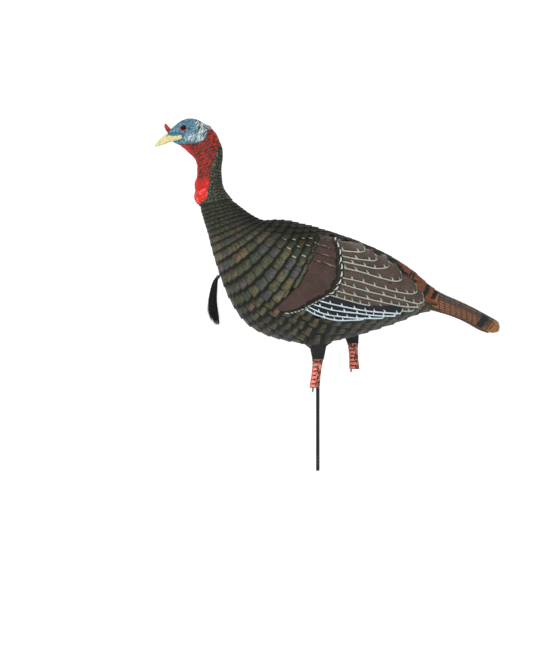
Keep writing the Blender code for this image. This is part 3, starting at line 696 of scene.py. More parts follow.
def wattle_paint(name, settings):
    """Fleshy red skin, darker over the snood, with painted shade at the snood's root."""
    paint = Paint(name, Roughness=0.33, Specular_IOR_Level=0.2)
    place = paint.coords()
    _, _, z = paint.split(place)
    cloud = paint.noise(place, 110, 2.0)
    dab = paint.noise(place, 260, 2.0)
    colour = paint.mix(cloud.step(0.50, 0.68), settings.neck_colour, (0.76, 0.12, 0.10))
    colour = paint.shade(dab.step(0.42, 0.32) * 0.6, colour, 0.5)
    colour = paint.shade(z.step(0.870, 0.874) * 0.75, colour, 0.55)
    # Painted shade at the root of the snood.
    colour = paint.shade(z.step(0.890, 0.882) * z.step(0.870, 0.874) * 0.8, colour, 0.25)
    paint.feed(Base_Color=colour, Roughness=0.30 + dab * 0.15)
    paint.bump(dab * 0.5 + cloud, 0.0012, 0.7)
    return paint.material


def horn_paint(name):
    """Pale yellow horn, with painted shade in its grooves."""
    paint = Paint(name, Roughness=0.4, Specular_IOR_Level=0.35)
    place = paint.coords()
    grain = paint.noise(paint.stretched(place, (0.35, 1.0, 1.0)), 420, 3.0)
    colour = paint.mix(grain.step(0.35, 0.65), (0.450, 0.400, 0.170), (0.680, 0.620, 0.320))
    # Painted shade in the mouth's groove, the nostril and the gape's dimple.
    colour = paint.mix(paint.field("depth").step(0.1, 0.9) * 0.95, colour, (0.070, 0.055, 0.026))
    paint.feed(Base_Color=colour, Roughness=0.36 + grain * 0.2)
    paint.bump(grain, 0.0004, 0.5)
    return paint.material


def leg_paint(name, settings):
    """Coral legs: broad scutes round the front with black between, and small scales behind."""
    paint = Paint(name, Roughness=0.5, Specular_IOR_Level=0.25)
    place = paint.coords()
    across, length, gap = paint.fields("across", "along", "edge")
    cloud = paint.noise(place, 140, 2.0)
    scales = paint.cells(paint.stretched(place, (1.0, 1.0, 0.75)), 230)
    front = abs(across - 0.5).step(0.262, 0.235)
    broken = paint.noise(place, 150, 1.0)
    bars = front * (gap + (broken - 0.5) * 0.9).step(0.27, 0.40) * length.step(0.10, 0.18)
    seam = abs(abs(across - 0.5) - 0.125).step(0.020, 0.008)
    bars = bars * (1 - seam * (broken < 0.60))
    flecks = (1 - front * length.step(0.12, 0.26)) * scales.step(0.29, 0.37) * broken.step(0.40, 0.46)
    colour = paint.mix(cloud.step(0.3, 0.7), settings.skin_colour, (0.76, 0.26, 0.19))
    colour = paint.mix(length.step(0.16, 0.02) * 0.6, colour, (0.260, 0.120, 0.090))
    colour = paint.mix(bars.larger(flecks * 0.9), colour, (0.012, 0.008, 0.007))
    paint.feed(Base_Color=colour, Roughness=0.42 + cloud * 0.2)
    paint.bump(cloud - flecks, 0.0007, 0.7)
    return paint.material


def plain_paint(name, colour, light, roughness, scale, relief, **constants):
    """A plain finish with cloudy colour and a fine grain."""
    paint = Paint(name, **constants)
    place = paint.coords()
    cloud, grain = paint.noise(place, scale / 12, 3.0), paint.noise(place, scale, 4.0, 0.6)
    paint.feed(Base_Color=paint.mix(cloud.step(0.3, 0.7) * 0.6 + grain * 0.4, colour, light),
               Roughness=roughness + (grain - 0.5) * 0.25)
    paint.bump(grain, relief, 0.6)
    return paint.material


def rod_paint(name):
    """Black paint on steel, scratched along the rod by the soil, with brown at its foot."""
    paint = Paint(name, Specular_IOR_Level=0.25)
    place = paint.coords()
    _, _, z = paint.split(place)
    scratch = paint.noise(paint.stretched(place, (900, 900, 14)), 1.0, 3.0).step(0.70, 0.76)
    worn = scratch * z.step(0.30, 0.02)
    grime = paint.noise(place, 180, 3.0).step(0.50, 0.62) * z.step(0.06, 0.0)
    colour = paint.mix(worn, (0.009, 0.009, 0.009), (0.20, 0.20, 0.195))
    paint.feed(Base_Color=paint.mix(grime, colour, (0.11, 0.075, 0.045)), Metallic=worn * 0.9,
               Roughness=0.38 + grime * 0.4 - worn * 0.08)
    paint.bump(scratch, 0.0002, 0.5)
    return paint.material


def hair_paint(name):
    """Black horsehair, each hair of its own tone."""
    paint = Paint(name, Roughness=0.45, Specular_IOR_Level=0.2)
    tint = paint.field("tint")
    paint.feed(Base_Color=paint.mix(tint, (0.004, 0.004, 0.004), (0.020, 0.018, 0.016)))
    return paint.material


# ---- feathers ------------------------------------------------------------------------


class Plumage:
    """One mesh of many feathers. Each point keeps these fields, and the paints read them.

    Across and along are its place on its feather, reach is how far it is from the feather's root
    and tint is its feather's own tone. Depth and edge mean what each kind of feather gives them.
    """

    FIELDS = ("across", "along", "reach", "depth", "edge", "tint")

    def __init__(self):
        self.mesh = bmesh.new()
        self.fields = [self.mesh.verts.layers.float.new(name) for name in self.FIELDS]

    def feather(self, spot, tint, columns, rows):
        """Adds a grid of points. spot(across, along) gives each one's place, reach, depth and edge."""
        grid = bmesh.ops.create_grid(self.mesh, x_segments=columns, y_segments=rows, size=0.5)
        for vert in grid["verts"]:
            across, length = vert.co.x + 0.5, vert.co.y + 0.5
            vert.co, *rest = spot(across, length)
            for field, value in zip(self.fields, (across, length, *rest, tint)):
                vert[field] = value

    def finish(self, name, body, finish, material, wall):
        return piece(name, self.mesh, body, material, wall)


def from_bmesh(name, made):
    """A mesh from one being made, which is then freed."""
    mesh = bpy.data.meshes.new(name)
    made.normal_update()
    made.to_mesh(mesh)
    made.free()
    return mesh


def piece(name, made, body, material, wall=0.0):
    """A finished piece: shaded smooth, riding on its body, with a wall under its surface."""
    mesh = from_bmesh(name, made)
    mesh.materials.append(material)
    mesh.shade_smooth()
    made = bpy.data.objects.new(name, mesh)
    bpy.context.scene.collection.objects.link(made)
    if wall:
        solid = made.modifiers.new("wall", "SOLIDIFY")
        solid.thickness = wall * MM
        solid.offset = -1
        solid.use_rim = True
    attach(made, body)
    return made


def repaint(material, *nodes):
    """Gives pieces that stay as the frame has them their looks."""
    for node in nodes:
        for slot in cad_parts[node].material_slots:
            slot.material = material


def body_rows():
    """Distances along the body's middle at which rows of feathers start, with each row's pitch."""
    distance, rows = -6.0, []
    while distance < BODY_FEATHERS_END:
        pitch = 9 + 13.5 * step(distance, 0, 170) + 5 * step(distance, 300, 420)
        rows.append((distance, pitch))
        distance += pitch
    return rows


def lay_body_feathers(plumage, flank, settings):
    """Rows of overlapping feathers from the neck seam to the rump, staggered like roof tiles."""
    lengths = share_lengths(BODY)
    chance = random.Random(4)
    for row, (distance, pitch) in enumerate(body_rows()):
        count = round(settings.feathers_around - 4 * step(distance, 470, 600))
        for k in range(count):
            turn = (k + (row % 2) * 0.5 + chance.uniform(-0.06, 0.06)) / count
            lay_body_feather(plumage, flank, lengths, distance, pitch, turn, 1.12 / count, chance)


def side_bend(turn):
    """Rows bow towards the tail at the bird's sides."""
    return 0.040 * math.sin(turn * math.tau) ** 2


def belly_fluff(place):
    """Looser feathers round the tops of the legs, in millimetres."""
    lower = step(place.z, 0.400, 0.350)
    return 4.0 * lower * math.exp(-(((place.x + 0.01) / 0.075) ** 2))


def lay_body_feather(plumage, flank, lengths, distance, pitch, turn, width, chance):
    """One feather of a row, cut short where the wing covers it."""
    bend = side_bend(turn) * step(distance, 20, 230)
    root = share_at(lengths, max(distance - 0.5 * pitch, 0)) + bend
    tip = share_at(lengths, distance + pitch * chance.uniform(1.0, 1.035)) + bend
    root, tip = min(root, 0.985), min(tip, 1.02)
    if tip - root < 0.01:
        return
    cut = next((v for v in (1.0, 0.85, 0.7, 0.55, 0.4)
                if flank.depth(BODY.point(min(root + (tip - root) * v, 1), turn)) < 5), None)
    if cut is None:
        return
    tip = root + (tip - root) * cut
    lean, rise = chance.uniform(-0.5, 0.5), chance.uniform(0.0, 0.5)
    size = step(distance, 0, 170)
    loose = 1.3 + 2.2 * size + 1.0 * step(distance, 380, 470)

    def spot(across, length):
        share = root + (tip - root) * length * (0.965 + 0.035 * crown(across, 3))
        where = turn - (across - 0.5) * width * (1 - 0.04 * step(length, 0.8, 1.0))
        ground = BODY.point(min(share, 1), where)
        depth = flank.depth(ground)
        cover = 7.6 * step(depth, -22, -1)
        near = 1 - step(depth, -22, -8) * 0.75
        camber = crown(across) * (0.2 + 0.25 * size)
        lift = 0.2 + loose * near * length**1.3 + camber + rise + (across - 0.5) * (0.7 + lean) + cover
        lift += belly_fluff(ground)
        place = ground + BODY.normal(min(share, 1), where) * (lift * MM)
        if share > 1:
            place += Vector((0.9, 0, -0.35)) * ((share - 1) * 0.62)
        folded = abs(((where + 0.5) % 1) - 0.5) * 2
        return place, length * pitch * 1.5 * MM, folded, 0.0

    plumage.feather(spot, chance.random(), 4, 5)


def long_feather(flank, side, lower, width, base, tilt):
    """Where the points of a long wing feather lie. Lower is its lower edge, from root to tip.

    Base is how far it stands off the body at its root, and tilt how much further its lower edge does.
    """
    last = len(lower) - 1
    length_mm = sum(math.dist(a, b) for a, b in zip(lower, lower[1:]))

    def spot(across, length):
        share = across if side > 0 else 1 - across
        x, z = along(lower, length * last)
        run = heading(lower, length * last)
        left = (1 - length) * length_mm
        span = width * rounded_end(left, WING_TIP, 0.02)
        rise = width * 0.44 + (share - 0.44) * span
        lift = base + length + (0.5 - share) * tilt + 0.3 * crown(share)
        place = flank.place(x - run.y * rise, z + run.x * rise, side, lift)
        edge = min(share * span, left * 0.8 if share < 0.66 else 99)
        return place, length * length_mm * MM, share * width * MM, edge * MM

    return spot


def lay_long_feathers(kind, rows, base, step_down, side, flank, material):
    """Secondaries or primaries, each one lying step_down lower than the one above it."""
    plumage = Plumage()
    chance = random.Random(9)
    for k, (lower, width) in enumerate(zip(rows, WING_WIDTHS[kind])):
        spot = long_feather(flank, side, drawn(lower), width, base - step_down * k, 2.4)
        plumage.feather(spot, chance.random(), 8, 30)
    plumage.finish(f"{kind}_{SIDES[side]}", "decoy", "wing", material, 0.7)


def lay_shoulder(side, flank, material):
    """The smooth shoulder patch, one sheet between its front and back edges."""
    plumage = Plumage()
    front_edge, back_edge = drawn(SHOULDER_FRONT), drawn(SHOULDER_BACK)
    last = len(front_edge) - 1

    def spot(across, height):
        share = across if side < 0 else 1 - across
        front, back = along(front_edge, height * last), along(back_edge, height * last)
        span = math.dist(front, back)
        reach = share * (1 - 5 / span)
        x, z = (front[i] + (back[i] - front[i]) * reach for i in (0, 1))
        lift = 8.3 + 1.3 * crown(share, 3) * crown(height, 5) + 2.3 * share
        place = flank.place(x, z, side, lift)
        return place, height * 200 * MM, share, min(share, 1 - share) * span * MM

    plumage.feather(spot, 0.5, 22, 30)
    plumage.finish(f"shoulder_{SIDES[side]}", "decoy", "wing", material, 1.6)


def lay_fringe(side, flank, material):
    """Curved black blades down the shoulder's back edge, smaller towards its foot."""
    plumage = Plumage()
    chance = random.Random(5)
    border = drawn(SHOULDER_BACK)[::-1]
    last = len(border) - 1
    steps = [math.dist(a, b) for a, b in zip(border, border[1:])]

    def on_border(distance):
        """The border's point and direction at a distance from its top."""
        k = 0
        while k < last - 1 and distance > steps[k]:
            distance -= steps[k]
            k += 1
        t = k + distance / steps[k]
        return Vector(along(border, t)), heading(border, t, 0.1)

    distance = 4.0
    while distance < sum(steps) - 16:
        size = 1 - 0.48 * step(distance, 100, 190)
        turnout = chance.uniform(-1.5, 1.5)

        def spot(across, length, distance=distance, size=size, turnout=turnout):
            share = across if side > 0 else 1 - across
            here = (length - 0.42) * FRINGE_BLADE * size
            middle, run = on_border(min(max(distance + here, 0), sum(steps)))
            out = Vector((-run.y, run.x))
            bend = 1.0 - 0.2 * here - 0.0145 * here * here + turnout * length
            half = 7.0 * size * max(math.sin(math.pi * min(max(length, 0.03), 0.97)), 0) ** 0.55
            place = middle + out * (bend * size + (share - 0.62) * 2 * half)
            lift = 10.9 + 0.5 * crown(share) + 0.7 * (1 - length) - 0.8 * (1 - size)
            return flank.place(place.x, place.y, side, lift), length * 30 * MM, share, 0.0

        plumage.feather(spot, chance.random(), 5, 9)
        distance += FRINGE_PITCH * size
    plumage.finish(f"fringe_{SIDES[side]}", "decoy", "wing", material, 0.5)


def lay_tail(material, settings):
    """The tail's feathers, stacked on each side of the arch from its edge up to its top."""
    plumage = Plumage()
    chance = random.Random(7)
    lengths = share_lengths(TAIL)
    rims = [(k / settings.feathers) ** 1.12 for k in range(settings.feathers)]
    for side in (1, -1):
        for k, rim in enumerate(rims):
            top = rims[k + 1] if k + 1 < len(rims) else 1.06
            middle = (rim + top) / 2
            above, below = max(0, (middle - 0.45) / 0.55), max(0, (0.45 - middle) / 0.45)
            end = 1 - 0.05 * above**2 - 0.08 * below**2.5 + chance.uniform(-0.003, 0.003)

            def spot(across, length, rim=rim, top=top, end=end, k=k, side=side):
                share = across if side > 0 else 1 - across
                distance = length * end * 1.016 * lengths[-1]
                span = rounded_end((1 - length) * lengths[-1], TAIL_TIP, 0.08)
                height = rim + (top - rim) * (0.5 + (share - 0.5) * 1.08 * span)
                swing = math.acos(min(max(height, 0.0), 1.0) ** (1 / TAIL_SQUARENESS)) / math.pi
                if height > 1:
                    swing = -(height - 1) * 1.2
                lift = 0.7 + 0.42 * k + 0.7 * (0.5 - share) + 0.35 * crown(share)
                place = TAIL.place(share_at(lengths, distance), 0.5 + side * swing, lift)
                return place, distance * MM, height, (height - rim) * 50 * MM

            plumage.feather(spot, chance.random(), 4, 34)
    plumage.finish("tail_feathers", "decoy", "tail", material, 0.8)


def lay_tail_core(material):
    """The arch that the tail's feathers lie on."""
    plumage = Plumage()
    lengths = share_lengths(TAIL)

    def spot(across, length):
        place = TAIL.place(share_at(lengths, length * 0.93 * lengths[-1]), 1 - across, -0.1)
        return place, length * 0.17, across, 0.0

    plumage.feather(spot, 0.5, 40, 24)
    return plumage.finish("tail_core", "decoy", "tail", material, 4.4)


def on_red_skin(place):
    """Whether a point of the neck is bare skin, in front of the feathers' edge."""
    x, z = place.x / MM, place.z / MM
    edge = -279 + 29 * max(0.0, (z - 755) / 85) ** 1.2
    return z > 838 or (z > 698 and x < edge)


def lay_neck_feathers(plumage):
    """Rows of small feathers down the back and the sides of the neck, to the seam."""
    lengths = share_lengths(HEAD)
    chance = random.Random(11)
    distance, row = NECK_FEATHERS_TOP, 0
    while distance > -4:
        for k in range(NECK_COUNT):
            turn = (k + (row % 2) * 0.5) / NECK_COUNT
            tip = share_at(lengths, distance) if distance > 0 else -0.006
            root = share_at(lengths, distance + 15)
            if on_red_skin(HEAD.point(max(tip, 0), turn)):
                continue
            rise = chance.uniform(0, 0.4)

            def spot(across, length, turn=turn, root=root, tip=tip, rise=rise):
                share = root + (tip - root) * length * (0.82 + 0.18 * crown(across, 2.2))
                where = turn - (across - 0.5) * 1.15 / NECK_COUNT
                lift = 0.2 + 1.4 * length + 0.5 * crown(across) + rise
                place = HEAD.place(max(share, 0), where, lift)
                if share < 0:
                    place += Vector((-0.18, 0, -0.98)) * (-share * 0.35)
                return place, length * 15 * MM, 0.5, 0.0

            plumage.feather(spot, chance.random(), 3, 4)
        distance -= NECK_PITCH
        row += 1


# ---- head, beak and eyes -------------------------------------------------------------


def skin_lift(share, turn):
    """Small fleshy bumps over the head and neck, larger down the front of the neck, in millimetres."""
    place = HEAD.point(share, turn)
    warts = noise.noise(place * 230, noise_basis="VORONOI_F1")
    folds = noise.noise(Vector((place.x + place.z * 0.7, place.y, (place.z - place.x * 0.7) * 0.45)) * 150)
    small = noise.noise(place * 520)
    neck = step(share, 0.66, 0.50)
    smooth = step(place.z, 0.752, 0.775)
    cheek = math.exp(-(((place.x + 0.325) / 0.020) ** 2 + ((place.z - 0.864) / 0.012) ** 2)) * 1.4
    brow = math.exp(-(((place.x + 0.346) / 0.016) ** 2 + ((place.z - 0.899) / 0.004) ** 2)) * 1.5
    socket = math.exp(-(((place.x + 0.348) / 0.011) ** 2 + ((place.z - 0.888) / 0.009) ** 2)) * 1.6
    rough = (0.35 + 0.65 * neck) * (0.35 + 0.65 * smooth)
    return (0.3 - 0.9 * warts + folds * 1.1) * rough + small * 0.35 + cheek + brow - socket


def head_skin():
    """The skin as a mesh being made, and a tree that finds points on it."""
    skin = HEAD.mesh(150, 110, skin_lift)
    skin.normal_update()
    return skin, BVHTree.FromBMesh(skin)


def lay_bristles(plumage, tree):
    """Short bristles that stand in lines over the back of the skull."""
    chance = random.Random(3)
    down_back = Vector((0.75, 0, -0.55))
    for _ in range(BRISTLES):
        lean = chance.uniform(-1.25, 1.25)
        away = chance.uniform(0.0, 1.0)
        centre = Vector((-0.300 + 0.018 * away - 0.012 * abs(lean), 0.0, 0.885 - 0.004 * away))
        aim = Vector((0.62, math.sin(lean), math.cos(lean) * 0.9)).normalized()
        hit, normal = tree.ray_cast(centre + aim * 0.06, -aim)[:2]
        if hit is None or (hit - centre).length > 0.06 or hit.x > -0.284:
            continue
        lay = (down_back - normal * down_back.dot(normal)).normalized()
        side = normal.cross(lay)
        size = chance.uniform(0.006, 0.009)

        def spot(across, length, hit=hit, normal=normal, lay=lay, side=side, size=size):
            wide = (across - 0.5) * 0.0013 * (1 - 0.8 * length)
            place = hit + lay * (size * length) - side * wide + normal * (0.0001 + 0.0020 * length)
            return place, length * size, 0.0, 0.0

        plumage.feather(spot, chance.random(), 1, 3)


# ---- settings ------------------------------------------------------------------------


def colour_property(name, description, default):
    return FloatVectorProperty(name=name, description=description, subtype="COLOR", size=3,
                               min=0.0, max=1.0, default=default)


class DecoyPlumageSettings(bpy.types.PropertyGroup):
    feathers_around: IntProperty(
        name="Feathers round the body", description="Feathers in one row", default=30, min=12)
    neck_colour: colour_property("Neck", "Feathers low on the neck", (0.066, 0.080, 0.052))
    back_colour: colour_property("Back", "Feathers along the back", (0.028, 0.028, 0.021))
    belly_colour: colour_property("Belly", "Feathers under the body", (0.072, 0.068, 0.042))
    edge_colour: colour_property("Edge", "Trailing edges", (0.009, 0.010, 0.009))


class DecoyHeadSettings(bpy.types.PropertyGroup):
    face_colour: colour_property("Face", "Skin of the face", (0.098, 0.232, 0.310))
    cheek_colour: colour_property("Cheek", "Pale skin behind the beak", (0.560, 0.660, 0.670))
    neck_colour: colour_property("Neck", "Red skin of the neck", (0.560, 0.018, 0.014))


class DecoyWingSettings(bpy.types.PropertyGroup):
    shoulder_colour: colour_property("Shoulder", "Smooth shoulder patch", (0.058, 0.033, 0.026))
    secondary_colour: colour_property("Secondaries", "Brown wing feathers", (0.088, 0.060, 0.046))
    primary_colour: colour_property("Primaries", "Black wing feathers", (0.012, 0.013, 0.016))


class DecoyTailSettings(bpy.types.PropertyGroup):
    feathers: IntProperty(
        name="Tail feathers", description="Feathers on each side of the folded tail", default=8, min=3)


class DecoyLegSettings(bpy.types.PropertyGroup):
    skin_colour: colour_property("Skin", "Leg skin", (0.620, 0.130, 0.095))


class DecoyStageSettings(bpy.types.PropertyGroup):
    lens: FloatProperty(
        name="Lens", description="Camera's focal length, in millimetres", default=85.0, min=20)
    distance: FloatProperty(
        name="Distance", description="From the camera to the bird", default=4.09, min=1, subtype="DISTANCE")


# ---- operators -----------------------------------------------------------------------


class DECOY_OT_body_feathers(bpy.types.Operator):
    """Lays rows of feathers over the body"""

    bl_idname = "decoy.body_feathers"
    bl_label = "Body feathers"

    def execute(self, context):
        settings = context.scene.decoy_plumage
        plumage = Plumage()
        lay_body_feathers(plumage, Flank(), settings)
        paint = contour_paint("body feathers", settings)
        plumage.finish("body_feathers", "decoy", "feathers", paint, 0.7)
        shell = plain_paint("shell under the feathers", (0.014, 0.014, 0.010), (0.030, 0.028, 0.020),
                            0.7, 900, 0.0004)
        repaint(shell, "body_shell")
        return {"FINISHED"}


class DECOY_OT_wings(bpy.types.Operator):
    """Lays both wings: shoulder, fringe, secondaries and primaries"""

    bl_idname = "decoy.wings"
    bl_label = "Wings"

    def execute(self, context):
        settings = context.scene.decoy_wings
        flank = Flank()
        shoulder = shoulder_paint("shoulder", settings.shoulder_colour)
        fringe = fringe_paint("shoulder fringe")
        brown = wing_paint("secondaries", settings.secondary_colour, (0.40, 0.44, 0.38),
                           edge_width=0.0030, thorn=0.0105, spots=0.9)
        black = wing_paint("primaries", settings.primary_colour, (0.60, 0.73, 0.80),
                           edge_width=0.0032, thorn=0.0085, spots=0.0)
        for side in SIDES:
            lay_long_feathers("secondaries", SECONDARIES, 9.6, 0.22, side, flank, brown)
            lay_long_feathers("primaries", PRIMARIES, 9.0, 0.12, side, flank, black)
            lay_shoulder(side, flank, shoulder)
            lay_fringe(side, flank, fringe)
        plate = plain_paint("wing under the feathers", (0.016, 0.013, 0.011), (0.035, 0.026, 0.022),
                            0.7, 900, 0.0004)
        repaint(plate, "wing_left", "wing_right")
        return {"FINISHED"}


class DECOY_OT_tail(bpy.types.Operator):
    """Lays the folded tail's feathers on their arch"""

    bl_idname = "decoy.tail"
    bl_label = "Tail"

    def execute(self, context):
        core = lay_tail_core(plain_paint(
            "tail's inside", (0.050, 0.030, 0.020), (0.095, 0.055, 0.034), 0.7, 900, 0.0004))
        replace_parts(core, "tail_fan")
        lay_tail(tail_paint("tail feathers"), context.scene.decoy_tail)
        return {"FINISHED"}


class DECOY_OT_head(bpy.types.Operator):
    """Models the skin of the head and neck, the wattles, the snood and the skull's bristles"""

    bl_idname = "decoy.head"
    bl_label = "Head and neck"

    def execute(self, context):
        settings = context.scene.decoy_head
        skin, tree = head_skin()
        head = piece("head_skin", skin, "head", head_paint("painted skin", settings))
        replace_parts(head, "head_casting")

        red = wattle_paint("wattle skin", settings)
        self.make_wattles(red)
        snood = Loft(SNOOD_ROWS).mesh(20, 20, lambda share, turn: 0.25 * math.sin(share * 40))
        snood = piece("snood_skin", snood, "head", red)
        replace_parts(snood, "snood")

        bristles = Plumage()
        lay_bristles(bristles, tree)
        finish = Paint("bristles", Roughness=0.5)
        tone = finish.field("tint") > 0.5
        finish.feed(Base_Color=finish.mix(tone, (0.012, 0.013, 0.013), (0.66, 0.70, 0.68)))
        bristles.finish("skull_bristles", "head", "head", finish.material, 0.2)
        return {"FINISHED"}

    def make_wattles(self, material):
        """Fleshy lobes down the front of the neck, melted into one skin."""
        lobes = bmesh.new()
        for x, y, z, length, width, height in (
            (-307, 0, 714, 15, 10, 23), (-309, 0, 742, 12, 9, 22), (-303, 0, 705, 13, 12, 13),
            (-295, -27, 715, 13, 11, 18), (-295, 27, 715, 13, 11, 18),
            (-303, -13, 727, 11, 9, 24), (-303, 13, 727, 11, 9, 24),
            (-306, -18, 711, 11, 11, 19), (-306, 18, 711, 11, 11, 19),
            (-306, -7, 762, 8, 9, 24), (-306, 7, 762, 8, 9, 24),
        ):
            pose = Matrix.Translation(Vector((x, y, z)) * MM) @ Matrix.Diagonal(
                (length * MM, width * MM, height * MM, 1))
            bmesh.ops.create_uvsphere(lobes, u_segments=20, v_segments=14, radius=1, matrix=pose)
        wattles = piece("wattles", lobes, "head", material)
        melt = wattles.modifiers.new("melt", "REMESH")
        melt.mode = "VOXEL"
        melt.voxel_size = 1.1 * MM
        melt.use_smooth_shade = True
        calm = wattles.modifiers.new("calm", "SMOOTH")
        calm.factor = 0.6
        calm.iterations = 6


class DECOY_OT_beak(bpy.types.Operator):
    """Models the beak with its gape and nostrils"""

    bl_idname = "decoy.beak"
    bl_label = "Beak"

    def execute(self, context):
        loft = Loft(BEAK_ROWS, 0.72)

        def marks(place):
            """How deep the mouth's groove, the nostril and the gape's dimple are at a point, 0 to 1."""
            x, z = place.x / MM, place.z / MM
            mouth = 864.0 - 0.46 * max(0.0, -387 - x)
            groove = 0.45 * step(abs(z - mouth), 1.1, 0.3) * step(x, -417, -408) * step(x, -352, -358)
            slant = (z - 869.8) - (x + 390.5) * 0.45
            nostril = step(abs(slant), 2.0, 0.9) * step(abs(x + 390.5), 4.6, 2.8)
            dimple = 0.6 * step(math.hypot(x + 355.5, z - 866.5), 1.3, 0.5)
            return max(groove, nostril, dimple) * (abs(place.y) > 0.001)

        def lift(share, turn):
            return BEAK_LIFT - MARK_DEPTH * marks(loft.point(share, turn))

        made = loft.mesh(110, 90, lift)
        depth = made.verts.layers.float.new("depth")
        for vert in made.verts:
            vert[depth] = marks(vert.co)
        beak = piece("beak_horn", made, "head", horn_paint("horn"))
        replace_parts(beak, "beak")
        return {"FINISHED"}


class DECOY_OT_eyes(bpy.types.Operator):
    """Sets glossy black eyes in red lids"""

    bl_idname = "decoy.eyes"
    bl_label = "Eyes"

    def execute(self, context):
        glass = Paint("eye", Roughness=0.12, Specular_IOR_Level=0.12)
        tone = glass.noise(glass.coords(), 900, 2.0)
        glass.feed(Base_Color=glass.mix(tone, (0.003, 0.002, 0.002), (0.014, 0.008, 0.006)))
        red = plain_paint("eyelid", (0.17, 0.007, 0.007), (0.40, 0.022, 0.018), 0.4, 1500, 0.0003,
                          Specular_IOR_Level=0.16)
        skin, tree = head_skin()
        skin.free()
        for side, label in SIDES.items():
            low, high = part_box(f"eye_{label}")
            middle = (low + high) / 2
            seat = tree.ray_cast(Vector((middle.x, side, middle.z)), Vector((0, -side, 0)))[0]
            lid = self.dome(seat + Vector((0.2, -0.5 * side, -1.5)) * MM, (9.9, 2.9, 8.2))
            piece(f"eyelid_{label}", lid, "head", red)
            ball = self.dome(seat + Vector((0, -0.2 * side, 0.4)) * MM, (7.7, 4.8, 6.7))
            eye = piece(f"eyeball_{label}", ball, "head", glass.material)
            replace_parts(eye, f"eye_{label}")
        return {"FINISHED"}

    def dome(self, centre, radii):
        """An ellipsoid sunk in the skin, its radii in millimetres."""
        made = bmesh.new()
        pose = Matrix.Translation(centre) @ Matrix.Diagonal([r * MM for r in radii] + [1])
        bmesh.ops.create_uvsphere(made, u_segments=40, v_segments=24, radius=1, matrix=pose)
        return made


class DECOY_OT_neck_feathers(bpy.types.Operator):
    """Lays the small feathers over the back of the neck"""

    bl_idname = "decoy.neck_feathers"
    bl_label = "Neck feathers"

    def execute(self, context):
        plumage = Plumage()
        lay_neck_feathers(plumage)
        paint = neck_paint("neck feathers", context.scene.decoy_plumage)
        plumage.finish("neck_feathers", "head", "feathers", paint, 0.5)
        return {"FINISHED"}


class DECOY_OT_legs(bpy.types.Operator):
    """Models the scaled legs and finishes their collars"""

    bl_idname = "decoy.legs"
    bl_label = "Legs"

    def execute(self, context):
        skin = leg_paint("leg skin", context.scene.decoy_legs)
        for label, leg in LEGS.items():
            self.make_leg(f"leg_skin_{label}", f"leg_{label}", leg, skin)
        collar = plain_paint("black collar", (0.006, 0.006, 0.006), (0.017, 0.017, 0.017),
                             0.70, 1400, 0.0009, Specular_IOR_Level=0.2)
        repaint(collar, "leg_collar_left", "leg_collar_right", "belly_flange")
        return {"FINISHED"}

    def make_leg(self, name, node, leg, material):
        """A tapered leg with broad scutes in relief round its front."""
        made = bmesh.new()
        fields = [made.verts.layers.float.new(n) for n in ("across", "along", "edge")]
        rings, around = 120, 64
        grid = bmesh.ops.create_grid(made, x_segments=around, y_segments=rings + 2, size=0.5)
        (top_x, top_z), (foot_x, foot_z) = leg["top"], leg["foot"]
        for vert in grid["verts"]:
            turn, ring = vert.co.x + 0.5, (vert.co.y + 0.5) * (rings + 2) - 1
            share = min(max(ring / rings, 0), 1)
            inside = 1.0 if -0.5 < ring < rings + 0.5 else 0.0
            angle = turn * math.tau
            front = step(abs(turn - 0.5), 0.262, 0.235)
            gap = max(0.0, math.cos(share * LEG_SCUTES * math.tau)) ** 1.6
            place = Vector((math.cos(angle), math.sin(angle), share * 9))
            scale = noise.noise(place * 2.6, noise_basis="VORONOI_F1")
            relief = 0.9 * (1 - gap) * front + (1 - front) * (0.3 - 0.5 * scale)
            half_length, half_width = along([(13, 9.7), (11.6, 8.3), (12.8, 8.8)], share * 2)
            relief += 1.2 * math.exp(-((share - 0.03) / 0.07) ** 2)
            vert.co = Vector((
                top_x + (foot_x - top_x) * share + (half_length + relief) * math.cos(angle) * inside,
                leg["y"] + (half_width + relief) * math.sin(angle) * inside,
                top_z + (foot_z - top_z) * share)) * MM
            for field, value in zip(fields, (turn, share, gap)):
                vert[field] = value
        bmesh.ops.remove_doubles(made, verts=made.verts, dist=0.01 * MM)
        bmesh.ops.recalc_face_normals(made, faces=made.faces)
        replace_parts(piece(name, made, "decoy", material), node)


